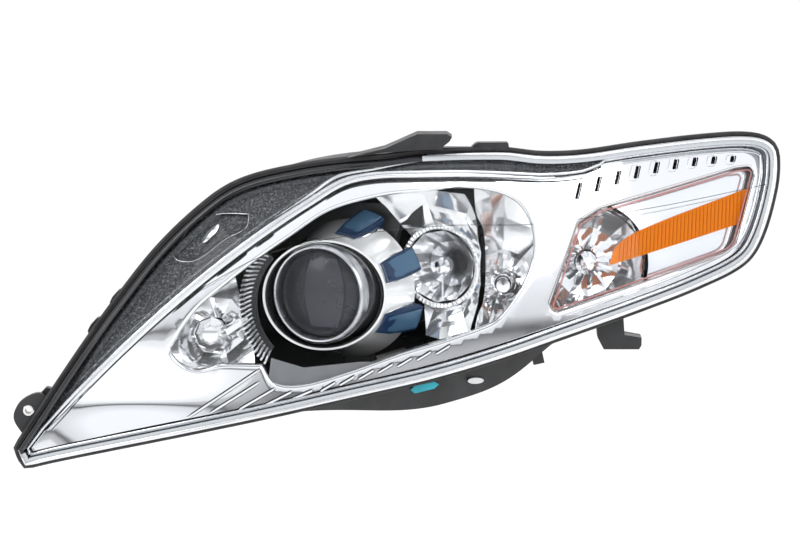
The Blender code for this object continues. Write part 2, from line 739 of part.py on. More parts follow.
def ellipsoid_reflector():
    """The bowl behind the shutter, with the swivel bosses and the lever that the swivel rod pushes."""
    def radius(y):
        return 34 * math.sqrt(1 - (y / 83) ** 2)

    stations = [-4, 12, 28, 44, 58, 68]
    outside = [(37.5, -9.4), (37.5, -5)] + [(radius(y), y) for y in stations] + [(15, 74), (15, 80)]
    inside = [(12.5, 80), (12.5, 73)] + [(radius(y) - 2.2, y) for y in stations[::-1]] + [(33, -9.4)]
    shell = turned("ellipsoid_reflector", outside + inside, "satin_metal", ring=True)
    for side in (-1, 1):
        post = rod("post", 6, 33, 41, "satin_metal", axis=(0, 0, side))
        join(shell, post)
        cut(shell, rod("bore", 3.4, 35, 50, "satin_metal", axis=(0, 0, side)))
    lever = block("lever", (-54, 21, -7), (-30.6, 23.4, 7), "satin_metal", 0)
    for low, high in ((4.7, 7), (-7, -4.7)):
        join(lever, block("cheek", (-54, 22, low), (-38, 32, high), "satin_metal", 0))
    join(shell, lever)


def swivel_pins():
    for name, side in (("swivel_pin_upper", 1), ("swivel_pin_lower", -1)):
        profile = [(0, 36), (3, 36), (3, 47), (4.5, 47), (4.5, 48.3), (0, 48.3)]
        turned(name, profile, "satin_metal", axis=(0, 0, side), segments=12)


def shutter():
    """The flap that cuts the beam off, its solenoid and the plunger between them."""
    y, z = SHUTTER_AXIS
    outline = [(-20, z + 1), (20, z + 1), (24, -12), (23, 0), (2, 0), (-2, 2), (-23, 2), (-24, -12)]
    flap = prism("shutter_flap", outline, plate_across(y - 0.7, y + 0.7), "satin_metal")
    join(flap, block("lever", (-3, y - 0.6, z - 8), (3, y + 0.6, z + 2), "satin_metal", 0))
    join(flap, rod("pin", 1.6, -20, 20, "satin_metal", (0, y, z), (1, 0, 0), 10))
    block("shutter_solenoid", (-10, -32, z - 11.5), (10, -13, z - 3), "black_plastic", 1)
    rod("solenoid_plunger", 1.5, -12.6, y - 1, "satin_metal", (0, 0, z - PLUNGER_ARM), segments=10)


def low_beam_bulb():
    profile = [(0, 38), (3, 39), (5, 43), (5, 64), (11, 66), (11, 80.5), (16, 80.5), (16, 83.5), (9, 83.5),
               (9, 95.5), (0, 95.5)]
    turned("low_beam_bulb", profile, "satin_metal")


def bulb_clip():
    """The spring clip that holds the bulb's flange, hinged under it."""
    clip = rod("bulb_clip", 1.3, -14, 14, "satin_metal", (0, *CLIP_AXIS), (1, 0, 0), 8)
    for x in (-11.8, 11.8):
        join(clip, rod("leg", 0.9, -20.4, 12.6, "satin_metal", (x, 85.3, 0), (0, 0, 1), 6))
    join(clip, rod("bar", 1.1, -13.2, 13.2, "satin_metal", (0, 85.1, 12.4), (1, 0, 0), 8))


# ---------------------------------------------------------------- carrier and its drives

def carrier_frame():
    """The gimbal ring, the plate round it, two pivot lugs, the levelling cup and the motor's arm."""
    front, back = CARRIER_PLATE
    outline = [(-56, 46), (-56, 68), (62, 68), (62, 53), (42, 51), (38, 36), (40, -22), (28, -46),
               (16, -56), (16, -76), (-6, -76), (-8, -56), (-40, -40), (-61, -16), (-61, 16)]
    plate = prism("carrier_frame", outline, plate_across(front, back), "black_plastic")
    inner = GIMBAL_RADIUS - GIMBAL_WALL
    join(plate, rod("hub", GIMBAL_RADIUS, -5, back, "black_plastic", segments=28))
    cut(plate, rod("bore", inner, -20, 40, "black_plastic", segments=28))
    for side in (-1, 1):
        cut(plate, rod("pin_hole", 3.3, inner - 5, GIMBAL_RADIUS + 3, "black_plastic", axis=(0, 0, side)))
    y, z = TILT_AXIS
    for start, end in ((-53, -43), (51, 61)):
        join(plate, block("lug", (start, front + 1, z - 8), (end, y + 8, z + 8), "black_plastic", 0))
        cut(plate, rod("lug_bore", 4.1, start - 5, end + 5, "black_plastic", (0, y, z), (1, 0, 0)))
    x, z = LEVEL_STUD
    join(plate, rod("cup", 9, back - 2, 27, "black_plastic", (x, 0, z)))
    cut(plate, rod("cup_bore", 5.8, back, 40, "black_plastic", (x, 0, z)))
    join(plate, block("motor_arm", (-60.5, front + 1, -10), (-56.5, 35, 10), "black_plastic", 0))


def levelling_drive():
    x, z = LEVEL_STUD
    ball_stud("level_stud", (x, 21.2, z), 5, 2.6, 92, "white_plastic")
    profile = [
        (0, 128), (3.6, 128), (3.6, 98), (12, 98), (12, 121), (17, 121), (17, 148), (15, 150), (0, 150),
    ]
    turned("levelling_motor", profile, "black_plastic", (x, 0, z))
    knob = [(0, 121.5), (5, 121.5), (5, 127), (8, 128), (8, 138), (7, 139), (0, 139)]
    turned("level_knob", knob, "white_plastic", (LEVEL_KNOB[0], 0, LEVEL_KNOB[1]), segments=12)


def swivel_drive():
    x = SWIVEL_STUD_X
    ball_stud("swivel_stud", (x, 28, 0), 4.2, 2, 19, "white_plastic")
    motor = block("swivel_motor", (-58, 36, -12), (-34.5, 55, 12), "black_plastic", 1)
    cut(motor, rod("bore", 2.5, 30, 53, "black_plastic", (x, 0, 0)))


# ---------------------------------------------------------------- other lamps

def main_beam():
    x, z = MAIN_AXIS
    focus = 53.0

    def radius(y):
        return MAIN_RADIUS * math.sqrt((focus - y) / (focus - MAIN_RIM_Y))

    stations = [MAIN_RIM_Y, 22, 30, 38, 44, 48]
    inside = [(radius(y), y) for y in stations]
    outside = [(radius(y) + 1.8, y + 0.6) for y in stations[:0:-1]]
    flange = MAIN_RADIUS + 3
    outside += [(MAIN_RADIUS + 1.8, MAIN_RIM_Y + 2), (flange, MAIN_RIM_Y + 2), (flange, MAIN_RIM_Y)]
    turned("main_reflector", inside + outside, "chrome", (x, 0, z), segments=28, ring=True)
    bulb = [
        (0, 24), (4, 25), (5, 28), (5, 45), (9.5, 46), (9.5, 51), (14, 51), (14, 54), (9, 54), (9, 74), (0, 74),
    ]
    turned("main_bulb", bulb, "satin_metal", (x, 0, z), segments=16)
    cup = [(0, 16), (5.5, 16.6), (7, 19), (7, 27), (6.2, 27), (6.2, 20), (0, 18)]
    shield = turned("main_bulb_shield", cup, "chrome", (x, 0, z), segments=16)
    join(shield, block("leg", (x - 0.8, 20.5, z - 25), (x + 0.8, 22.5, z - 6.6), "chrome", 0))


def bend_light():
    outline = vectors([(111, -31), (124, -26), (138, -9), (148, 9), (154, 31), (153, 52), (144, 72),
                       (128, 85), (111, 90)])
    sheet("bend_reflector", [outline], [circle(BEND_BULB, 10)], bend_depth, 1.6, "chrome")
    place = on_plane(*BEND_BULB, 0)
    bulb = [(0, 24), (3.5, 23), (4.5, 20), (4.5, 2), (8, 1), (8, -13), (13, -13), (13, -16), (8, -16),
            (8, -34), (0, -34)]
    turned("bend_bulb", bulb, "satin_metal", place, OUT, 16)
    cup = [(0, 30), (5.6, 29.6), (6.2, 28), (6.2, 14), (5.4, 14), (5.4, 27), (0, 27)]
    turned("bend_bulb_shield", cup, "chrome", place, OUT, 16)


def turn_signal():
    opening = rounded_loop(SIGNAL_OPENING, SIGNAL_CORNERS)
    sheet("signal_lens", [offset_loop(opening, -0.9)], [], behind_lens(BEZEL_BACK), 1.6, "clear")
    sheet("amber_bar", [vectors(AMBER_BAR)], [], behind_lens(19), 2.5, "amber_clear")
    outline = offset_loop(opening, 4)
    sheet("signal_reflector", [outline], [circle(SIGNAL_BULB, 11)], signal_depth, 1.6, "chrome")
    place = on_plane(*SIGNAL_BULB, 0)
    bulb = [(0, 4), (6, 2), (9, -4), (9, -14), (6, -24), (6, -41.5), (0, -41.5)]
    turned("signal_bulb", bulb, "amber_clear", place, OUT, 16)
    socket = [
        (0, -42), (10, -42), (15.3, -46), (15.3, -63), (21, -63), (21, -66), (11, -66), (11, -80), (0, -80),
    ]
    turned("signal_socket", socket, "black_plastic", place, OUT, 16)


def position_lamp():
    outline = vectors([(-147, -46), (-142, -32), (-125, -6), (-104, 12), (-92, 18), (-87, -6),
                       (-78, -34), (-75, -58), (-102, -59), (-127, -63), (-142, -57)])
    sheet("position_reflector", [outline], [circle(POSITION_BULB, 9.5)], position_depth, 1.6, "chrome")
    place = on_plane(*POSITION_CAP, 0)
    cap = [(0, 69), (6, 67.5), (11, 62), (10, 59), (0, 59)]
    turned("position_cap", cap, "chrome", place, OUT, 8)
    place = on_plane(*POSITION_BULB, 0)
    turned("position_bulb", [(0, 55), (3, 54.5), (4.8, 51), (4.8, 33), (0, 33)], "clear", place, OUT, 12)
    socket = [(0, 32.4), (8.5, 32.4), (8.5, 12), (9.4, 11), (9.4, -21), (14, -21), (14, -24), (8, -24), (8, -36),
              (0, -36)]
    turned("position_socket", socket, "black_plastic", place, OUT, 16)


def rear_cover(name, opening):
    """A rubber seal in a collar, and the twist cap that it carries."""
    x, z, bore, end = opening
    tube(name + "_seal", bore - 7, bore - 0.6, end - 9, end - 1, "rubber", (x, 0, z), segments=28)
    profile = [(0, end - 8), (bore - 7.5, end - 8), (bore - 7.5, end + 1), (bore + 4, end + 1),
               (bore + 4, end + 3), (bore + 2, end + 5), (0, end + 5)]
    cap = turned(name + "_cover", profile, "black_plastic", (x, 0, z), segments=28)
    grip = 0.7 * bore
    join(cap, block("grip", (x - grip, end + 3, z - 5), (x + grip, end + 16, z + 5), "black_plastic", 1.5))


def hang(name, place, parent, pieces):
    """Puts an empty on a joint's axis, and parents the joint's pieces to it."""
    pivot = bpy.data.objects.new(name, None)
    bpy.context.scene.collection.objects.link(pivot)
    if parent:
        pivot.parent = parent
        pivot.location = (Vector(place) - on_plane(*UPPER_MOUNT)) * MM - parent.matrix_world.translation
    else:
        pivot.location = (Vector(place) - on_plane(*UPPER_MOUNT)) * MM
    bpy.context.view_layer.update()
    for piece_name in pieces:
        piece = bpy.data.objects[piece_name]
        piece.parent = pivot
        piece.matrix_parent_inverse = pivot.matrix_world.inverted()
    return pivot


def place_pivots():
    """One empty for each joint, on its axis."""
    carrier = hang("beam_level", (0, *TILT_AXIS), None, [
        "carrier_frame", "swivel_pin_upper", "swivel_pin_lower", "swivel_motor", "main_reflector",
        "main_bulb", "main_bulb_shield"])
    projector = hang("beam_swivel", (0, 0, 0), carrier, [
        "projector_glass", "retainer_ring", "lens_holder", "barrel_shroud", "ellipsoid_reflector",
        "shutter_solenoid", "low_beam_bulb", *INSERTS])
    hang("shutter_tilt", (0, *SHUTTER_AXIS), projector, ["shutter_flap"])
    hang("plunger_slide", (0, 0, SHUTTER_AXIS[1] - PLUNGER_ARM), projector, ["solenoid_plunger"])
    hang("clip_hinge", (0, *CLIP_AXIS), projector, ["bulb_clip"])
    hang("swivel_stud_slide", (SWIVEL_STUD_X, 28, 0), carrier, ["swivel_stud"])
    hang("level_stud_slide", (LEVEL_STUD[0], TILT_AXIS[0], LEVEL_STUD[1]), None, ["level_stud"])
    hang("level_knob_turn", (LEVEL_KNOB[0], 130, LEVEL_KNOB[1]), None, ["level_knob"])
    for name, opening in (("low_beam", LOW_OPENING), ("main_beam", MAIN_OPENING)):
        x, z, _, end = opening
        pull = hang(name + "_cover_pull", (x, end, z), None, [name + "_seal"])
        hang(name + "_cover_twist", (x, end, z), pull, [name + "_cover"])
    hang("signal_socket_twist", on_plane(*SIGNAL_BULB, -63), None, ["signal_socket", "signal_bulb"])
    hang("position_socket_twist", on_plane(*POSITION_BULB, -21), None, ["position_socket", "position_bulb"])


def build():
    outer_lens()
    lens_sealant()
    housing_shell()
    bezels()
    marker_reflector()
    rib_louver()
    grained_shelf()
    brackets()
    rear_fittings()
    projector_glass()
    retainer_ring()
    lens_holder()
    barrel_shroud()
    blue_inserts()
    ellipsoid_reflector()
    swivel_pins()
    shutter()
    low_beam_bulb()
    bulb_clip()
    carrier_frame()
    levelling_drive()
    swivel_drive()
    main_beam()
    bend_light()
    turn_signal()
    position_lamp()
    rear_cover("low_beam", LOW_OPENING)
    rear_cover("main_beam", MAIN_OPENING)
    place_pivots()


for old in list(bpy.data.objects):
    bpy.data.objects.remove(old)
build()
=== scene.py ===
"""The looks of the car headlight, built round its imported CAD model.

Shapes are drawn in millimetres from the projector's swivel centre, which the frame's beam_swivel joint
gives. +X points outboard, -Y forward and +Z up. The lens, the trims and the bowls are drawn on a styling
plane, turned outboard by SWEEP about +Z: s runs outboard along it, t runs up and d is the depth out of
it, towards the front. Depth rules take and return numpy arrays. A path is an array of (s, t) rows.
"""

import json
import math

import bmesh
import bpy
import numpy as np
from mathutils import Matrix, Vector
from mathutils.geometry import delaunay_2d_cdt

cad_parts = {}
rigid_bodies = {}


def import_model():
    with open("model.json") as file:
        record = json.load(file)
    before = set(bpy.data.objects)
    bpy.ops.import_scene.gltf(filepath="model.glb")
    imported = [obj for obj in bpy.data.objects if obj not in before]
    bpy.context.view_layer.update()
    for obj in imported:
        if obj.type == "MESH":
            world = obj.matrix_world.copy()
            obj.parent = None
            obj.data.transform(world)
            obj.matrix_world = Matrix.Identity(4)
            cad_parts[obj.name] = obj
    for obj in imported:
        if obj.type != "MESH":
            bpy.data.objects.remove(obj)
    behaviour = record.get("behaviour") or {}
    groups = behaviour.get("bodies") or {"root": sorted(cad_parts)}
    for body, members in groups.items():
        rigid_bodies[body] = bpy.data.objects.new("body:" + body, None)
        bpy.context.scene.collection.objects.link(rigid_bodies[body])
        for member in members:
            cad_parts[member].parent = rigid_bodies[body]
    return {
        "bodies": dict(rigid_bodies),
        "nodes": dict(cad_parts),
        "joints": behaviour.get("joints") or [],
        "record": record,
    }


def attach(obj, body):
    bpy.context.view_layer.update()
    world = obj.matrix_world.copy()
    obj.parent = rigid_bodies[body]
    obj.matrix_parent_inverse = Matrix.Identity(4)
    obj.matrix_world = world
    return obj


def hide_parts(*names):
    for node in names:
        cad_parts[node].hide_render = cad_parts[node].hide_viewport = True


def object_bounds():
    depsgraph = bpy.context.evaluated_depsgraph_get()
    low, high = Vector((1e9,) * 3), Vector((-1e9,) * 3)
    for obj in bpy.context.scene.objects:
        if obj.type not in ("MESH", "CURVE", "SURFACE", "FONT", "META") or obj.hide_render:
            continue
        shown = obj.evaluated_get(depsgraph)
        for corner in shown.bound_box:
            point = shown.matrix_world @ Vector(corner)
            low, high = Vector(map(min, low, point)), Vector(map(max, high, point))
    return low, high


MM = 0.001

# The camera's view: its width, and how far right of and above the swivel centre its middle lies
VIEW_WIDTH = 656.0
AIM = (42.0, 14.6)

# Styling plane and outer lens surface, as in the CAD model
SWEEP = math.radians(24.0)
CROWN_DEPTH = 95.0
CROWN_S = -100.0
CROWN_RADIUS = 838.0
RAKE_START = -60.0
RAKE_RADIUS = 400.0
FACET_SLOPE = 0.8
FACET_SOFTNESS = 3.0
FACET_END = 60.0
LENS_WALL = 3.0
SKIRT_BACK = 16.0
BEZEL_BACK = 14.0
DARK_BEZEL_BACK = 11.0
REAR_Y = 118.0
LENS_CENTRE = (45.0, 10.0)
EDGE_FADE = 4.0
CREASE_SPAN = (-255, 20)        # s of the crease's first and last point
HOUSING_WALL = 2.5
HOUSING_LOWEST = 78.0           # s of the housing's lowest point

# The clear mouldings' mirror share at a grazing angle
GRAZING_LIMIT = 0.35

# Camera and floor, in metres and radians
CAMERA_DISTANCE = 4.0
CAMERA_TURN = math.radians(24)
CAMERA_LIFT = math.radians(7)
FLOOR_DROP = 0.25
FLOOR_REACH = 6.0

# What chrome reflects, from straight down to straight up: (height, grey)
TENT = [(0.0, 0.7), (0.42, 0.85), (0.495, 0.5), (0.51, 0.06), (0.53, 0.75), (0.62, 1.0), (0.78, 1.0),
        (0.82, 0.12), (0.88, 0.15), (0.92, 1.0)]

# Rings round the lens's edge and skirt, and round the glue channel: (how far out, how far back)
EDGE_RINGS = [(-2.2, 0.25), (-0.8, 1.1), (0, 2.6), (0.2, 5), (0.2, SKIRT_BACK), (-2.8, SKIRT_BACK),
              (-2.8, 5), (-3.4, 3.6)]
CHANNEL_RINGS = [(4.1, 9), (0.9, 9), (0.9, 19.6), (-3.7, 19.6), (-3.7, 12), (-5.7, 12), (-5.7, 28)]

# The lens outline, from the tip along the top and back along the bottom, and the corners in it
LENS_OUTLINE = [
    (-266, -124), (-237, -80), (-212, -43), (-189, -11), (-151, 36), (-110, 73), (-83, 88), (-40, 99),
    (0, 105), (29, 107.5), (60, 111), (124, 111), (157, 107), (190, 107), (240, 112), (300, 116),
    (335, 115), (350, 108), (353, 95), (350, 72), (338, 36), (324, 18), (288, 2), (239, -14),
    (173, -34), (124, -49), (67, -64), (0, -78), (-60, -91), (-122, -104), (-188, -118), (-237, -129),
    (-260, -135),
]
LENS_CORNERS = (0, 32)
EYE_OPENING = [
    (-142, -45), (-138, -34), (-122, -11), (-100, 8), (-73, 29), (-48, 46), (-15, 67), (26, 78),
    (58, 81), (95, 83), (124, 78), (140, 68), (149, 50), (150, 31), (144, 11), (134, -6),
    (120, -22), (104, -29), (75, -38), (42, -47), (-3, -62), (-40, -71), (-60, -68), (-69, -54),
    (-102, -54), (-125, -58),
]
EYE_CORNERS = (17, 23)
TRIM_TAIL = [(22, 96.5), (58, 97), (95, 96.5), (130, 94.5), (160, 92.5), (190, 94), (206, 99)]
RIM_START = 62.0            # s where the silver rim starts on the top edge
TRIM_TOP = -4.0             # s where the trim line leaves the crease for the tail
SIGNAL_OPENING = [(162, -19), (318, 27), (337, 92), (320, 91), (206, 64), (188, 54)]
SIGNAL_CORNERS = (5, 16, 5, 8, 16, 8)
SIGNAL_BULB = (195.0, 18.0)
MAIN_AXIS = (75, 18)
POSITION_BULB = (-106.0, -27.0)
POSITION_CAP = (-111.0, -31.0)
BEND_CENTRE = (132.0, 28.0)
BEND_BULB = (126.0, 4.0)
LOUVER_HUB = (-21.0, -6.0)
LOUVER_REACH = (52.5, 66.0)
LONG_GROOVES = [                # each groove's upper and lower end
    ((-71, -57), (-130, -97)), ((-71, -67), (-112, -93)), ((-59, -72.5), (-89, -90)),
    ((-45, -75), (-69, -87)), ((-28, -74), (-47, -82)),
]
BARREL_PROFILE = [(45, -76), (45, -48), (46.2, -32), (50, -16), (54.5, -3), (57, 5)]
BARREL_DROP = 2.0
MOUTH_DEPTH = 45.4
INSERTS = {"upper": (79.0, 71.0), "middle": (22.0, 25.0), "lower": (-30.0, -19.0)}
INSERT_HALF_ANGLE = 11.0
INSERT_BACK_RADIUS = 67.0
INSERT_SPAN = (-28.0, 3.0)
SLOT_COUNT = 9
MARKER_SIDES = 14
FACET_CELLS = 4


# ---------------------------------------------------------------- frame and surfaces

def plane_points(s, t, d):
    """Styling-plane coordinates as rows of swivel-centred millimetres."""
    s, t, d = np.broadcast_arrays(s, t, d)
    return np.stack([s * math.cos(SWEEP) + d * math.sin(SWEEP),
                     s * math.sin(SWEEP) - d * math.cos(SWEEP), t], axis=-1).astype(float)


OUT = Vector(plane_points(0, 0, 1))


def crease_height(s):
    """t of the crease that parts the lens's main face from its upper inner facet."""
    return -133 + 0.993 * (s + 268) - 0.001214 * (s + 268) * (s + 122)


def soft_ramp(x, width):
    """0 below -width, x above width, and smooth between."""
    return np.where(x <= -width, 0, np.where(x >= width, x, (x + width) ** 2 / (4 * width)))


def lens_depth(s, t):
    """d of the lens's outer face."""
    depth = CROWN_DEPTH - (s - CROWN_S) ** 2 / (2 * CROWN_RADIUS)
    depth = depth - np.maximum(0.0, t - RAKE_START) ** 2 / (2 * RAKE_RADIUS)
    steepness = 0.993 - 0.001214 * (2 * s + 390)
    above = (t - crease_height(s)) / np.hypot(1, steepness)
    return depth - np.where(s < FACET_END, FACET_SLOPE * soft_ramp(above, FACET_SOFTNESS), 0)


def bump(s, t, centre, reach, power=4):
    """1 at the centre, falling smoothly to 0 past reach."""
    return np.exp(-np.abs((s - centre[0]) / reach[0]) ** power - np.abs((t - centre[1]) / reach[1]) ** power)


def bowl(s, t, centre, reach):
    """1 at the centre of an elliptical bowl, and 0 from its rim outwards."""
    sunk = 1 - ((s - centre[0]) / reach[0]) ** 2 - ((t - centre[1]) / reach[1]) ** 2
    return np.maximum(0.0, sunk) ** 0.7


def behind_lens(back):
    """A depth rule that follows the lens at a fixed distance."""
    return lambda s, t: lens_depth(s, t) - back


def bezel_base(s, t):
    """The chrome bezel's face without its edges, ridges and grooves."""
    scoop = 9 * bump(s, t, (-175, -85), (60, 26), 2)
    dish = 5 * bump(s, t, (0, 5), (150, 90))
    return lens_depth(s, t) - BEZEL_BACK - scoop - dish


def housing_depth(s, t):
    """The housing's outer back."""
    inner = 44 * bump(s, t, (-100, -15), (58, 60))
    outer = 36 * bump(s, t, (245, 35), (90, 50))
    shallow = lens_depth(s, t) - 42 - inner - outer
    flat = s * math.tan(SWEEP) - REAR_Y / math.cos(SWEEP)
    share = np.exp(-((s - 66) / 126) ** 4)
    return shallow + (flat - shallow) * share


# ---------------------------------------------------------------- paths

def spline(points, corners=(), closed=True, step=3.0):
    """A smooth path through the points, which turns sharply at the numbered corners."""
    p = np.array(points, float)
    count = len(p)
    spans = count if closed else count - 1
    rows = []
    for i in range(spans):
        a, b = p[i], p[(i + 1) % count]
        before = p[i - 1] if (closed or i > 0) and i not in corners else a
        following = (i + 1) % count
        after = p[(i + 2) % count] if (closed or i + 2 < count) and following not in corners else b
        length = np.linalg.norm(b - a)
        start = (b - before) / np.linalg.norm(b - before) * length
        end = (after - a) / np.linalg.norm(after - a) * length
        for u in np.arange(0, 1, 1 / max(1, round(length / step))):
            h = (2 * u ** 3 - 3 * u ** 2 + 1, u ** 3 - 2 * u ** 2 + u,
                 3 * u ** 2 - 2 * u ** 3, u ** 3 - u ** 2)
            rows.append(h[0] * a + h[1] * start + h[2] * b + h[3] * end)
    if not closed:
        rows.append(p[-1])
    return np.array(rows)


def rounded(points, radii, steps=6):
    """A closed polygon whose corners are arcs of the given radii."""
    corners = [Vector(p) for p in points]
    rows = []
    for i, corner in enumerate(corners):
        before = (corners[i - 1] - corner).normalized()
        after = (corners[(i + 1) % len(corners)] - corner).normalized()
        half = before.angle(after) / 2
        centre = corner + (before + after).normalized() * radii[i] / math.sin(half)
        start = corner + before * radii[i] / math.tan(half) - centre
        end = corner + after * radii[i] / math.tan(half) - centre
        for j in range(steps + 1):
            rows.append(centre + start.lerp(end, j / steps).normalized() * radii[i])
    return refine(np.array([tuple(r) for r in rows]), 3.0)


def refine(path, step):
    """The same closed path with points added so that none are further apart than step."""
    rows = []
    for a, b in zip(path, np.roll(path, -1, 0)):
        for u in np.arange(0, 1, 1 / max(1, math.ceil(np.linalg.norm(b - a) / step))):
            rows.append(a + (b - a) * u)
    return np.array(rows)


def spoke(turn):
    """A unit step in each given direction."""
    return np.stack([np.cos(turn), np.sin(turn)], axis=-1)


def ellipse(centre, reach, count=32):
    return np.array(centre) + spoke(np.linspace(0, 2 * math.pi, count, endpoint=False)) * reach


def side_normals(path, closed=True):
    """Unit normals on the right-hand side of a path."""
    if closed:
        along = np.roll(path, -1, 0) - np.roll(path, 1, 0)
    else:
        along = np.gradient(path, axis=0)
    along /= np.maximum(1e-9, np.linalg.norm(along, axis=1))[:, None]
    return np.stack([along[:, 1], -along[:, 0]], axis=1)


def moved_out(loop, distance):
    """A closed loop moved outwards."""
    x, y = loop[:, 0], loop[:, 1]
    area = np.sum(x * np.roll(y, -1) - np.roll(x, -1) * y)
    return loop + side_normals(loop) * distance * (1 if area > 0 else -1)


def side_moved(path, distance):
    """An open path moved to its right, which is down for the trim line."""
    return path + side_normals(path, False) * distance


def narrowing(count, start, end):
    """Widths that grow from a point over the first share of a path and fall to a point over the last."""
    along = np.linspace(0, 1, count)
    return np.clip(np.minimum(along / start, (1 - along) / end), 0.08, 1) ** 0.7


def placed(corners, centre, turn):
    """A small outline, turned and moved to its centre."""
    return np.array([centre + spoke(turn) * u + spoke(turn + math.pi / 2) * v for u, v in corners])


def inside(points, loop):
    """Which points lie inside a closed loop."""
    x, y = points[:, 0], points[:, 1]
    result = np.zeros(len(points), bool)
    for (x0, y0), (x1, y1) in zip(loop, np.roll(loop, -1, 0)):
        if y0 != y1:
            crosses = ((y0 > y) != (y1 > y)) & (x < (x1 - x0) * (y - y0) / (y1 - y0) + x0)
            result ^= crosses
    return result


def distance_to(points, path, closed=True):
    """How far each point is from a path."""
    best = np.full(len(points), 1e9)
    ends = np.roll(path, -1, 0) if closed else path[1:]
    for a, b in zip(path, ends):
        d = b - a
        u = np.clip(((points - a) @ d) / max(1e-9, d @ d), 0, 1)
        gap = points - a - u[:, None] * d
        best = np.minimum(best, np.hypot(gap[:, 0], gap[:, 1]))
    return best


# ---------------------------------------------------------------- mesh helpers

def add_piece(name, points, faces, look, body="housing", stands_for=(), sharp=32.0):
    """A named mesh piece, drawn in swivel-centred millimetres, that rides on a CAD body."""
    mesh = bpy.data.meshes.new(name)
    mesh.from_pydata((np.array(points) * MM + SWIVEL).tolist(), [], faces)
    bm = bmesh.new()
    bm.from_mesh(mesh)
    bmesh.ops.recalc_face_normals(bm, faces=bm.faces)
    bm.to_mesh(mesh)
    bm.free()
    mesh.shade_smooth()
    mesh.set_sharp_from_angle(angle=math.radians(sharp))
    mesh.materials.append(LOOKS[look])
    piece = bpy.data.objects.new(name, mesh)
    bpy.context.scene.collection.objects.link(piece)
    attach(piece, body)
    if stands_for:
        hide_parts(*stands_for)
    return piece


def patch(outline, holes=(), spacing=5.0, extra=()):
    """A flat triangulated region with holes. extra holds paths that the mesh keeps points on."""
    loops = [np.array(outline), *[np.array(h) for h in holes]]
    low, high = loops[0].min(0), loops[0].max(0)
    rows = np.arange(low[1], high[1], spacing * 0.866)
    grid = np.array([(x + spacing / 2 * (j % 2), y)
                     for j, y in enumerate(rows) for x in np.arange(low[0], high[0], spacing)])
    if len(extra):
        marks = np.concatenate([np.array(e) for e in extra])
        marks = marks[np.unique(np.round(marks * 5), axis=0, return_index=True)[1]]
    else:
        marks = np.zeros((0, 2))

    def usable(points, clearance):
        keep = inside(points, loops[0]) & (distance_to(points, loops[0]) > clearance)
        for hole in loops[1:]:
            keep &= ~inside(points, hole)
            keep[keep] = distance_to(points[keep], hole) > clearance
        return points[keep]

    marks = usable(marks, 0.15)
    grid = usable(grid, spacing * 0.35)
    if len(marks):
        near = np.array([np.min(np.hypot(*(marks - g).T)) for g in grid])
        grid = grid[near > spacing * 0.35]
    points = np.concatenate([*loops, marks, grid])
    edges = []
    start = 0
    for loop in loops:
        edges += [(start + i, start + (i + 1) % len(loop)) for i in range(len(loop))]
        start += len(loop)
    made = delaunay_2d_cdt([Vector(p) for p in points], edges, [], 0, 1e-5)
    flat = np.array([tuple(v) for v in made[0]])
    faces = np.array([tuple(f) for f in made[2]])
    middle = flat[faces].mean(1)
    keep = inside(middle, loops[0])
    for hole in loops[1:]:
        keep &= ~inside(middle, hole)
    return flat, faces[keep].tolist()


def rim_edges(faces):
    """The directed edges that belong to one face only."""
    seen = {(f[i], f[(i + 1) % len(f)]) for f in faces for i in range(len(f))}
    return [(a, b) for a, b in seen if (b, a) not in seen]


def shell(name, region, depth, wall, look, **options):
    """A closed bent sheet whose face lies at d = depth(s, t), with its wall behind that."""
    flat, faces = region
    s, t = flat[:, 0], flat[:, 1]
    front = depth(s, t)
    count = len(flat)
    points = np.concatenate([plane_points(s, t, front), plane_points(s, t, front - wall)])
    solid = [tuple(f) for f in faces] + [tuple(count + i for i in f[::-1]) for f in faces]
    solid += [(b, a, a + count, b + count) for a, b in rim_edges(faces)]
    return add_piece(name, points, solid, look, **options)


def bridge(first, second, count):
    """Quads between two rings of count points, from the numbers of their first points."""
    return [(first + i, first + (i + 1) % count, second + (i + 1) % count, second + i) for i in range(count)]


def ring_faces(rings, count, closed_rings=True, start=0):
    """Quads between equal rings of count points, numbered one ring after another from start."""
    faces = []
    for r in range(rings if closed_rings else rings - 1):
        faces += bridge(start + r * count, start + (r + 1) % rings * count, count)
    return faces


def fan(first, tip, count):
    return [(first + i, first + (i + 1) % count, tip) for i in range(count)]


def lofted(rings):
    """The points and faces of a solid between equal rings, closed by the first and the last of them."""
    count = len(rings[0])
    last = (len(rings) - 1) * count
    ends = [tuple(range(count))[::-1], tuple(range(last, last + count))]
    return np.concatenate(rings), ring_faces(len(rings), count, False) + ends


def bead_mesh(path, section, depth, closed=True, widths=None, taper=None):
    """A section swept along a path. The section holds (right-hand offset, height over depth), and widths
    scales the offsets at each point of the path. taper makes the path open, and holds the shares of it over
    which it narrows to its two ends."""
    if taper:
        closed, widths = False, narrowing(len(path), *taper)
    elif widths is None:
        widths = np.ones(len(path))
    normals = side_normals(path, closed)
    section = np.array(section, float)
    points = []
    for p, n, width in zip(path, normals, widths):
        rows = p + n * section[:, :1] * width
        base = depth(np.array([p[0]]), np.array([p[1]]))[0]
        points.append(plane_points(rows[:, 0], rows[:, 1], base + section[:, 1]))
    if not closed:
        return lofted(points)
    return np.concatenate(points), ring_faces(len(path), len(section))


def bead(name, path, section, depth, look, closed=True, widths=None, taper=None, **options):
    return add_piece(name, *bead_mesh(path, section, depth, closed, widths, taper), look, **options)


def merged(name, parts, look, **options):
    """One piece made of several separate solids, each given as its points and faces."""
    points, faces = [], []
    for part_points, part_faces in parts:
        start = sum(len(p) for p in points)
        points.append(part_points)
        faces += [tuple(start + i for i in f) for f in part_faces]
    return add_piece(name, np.concatenate(points), faces, look, **options)


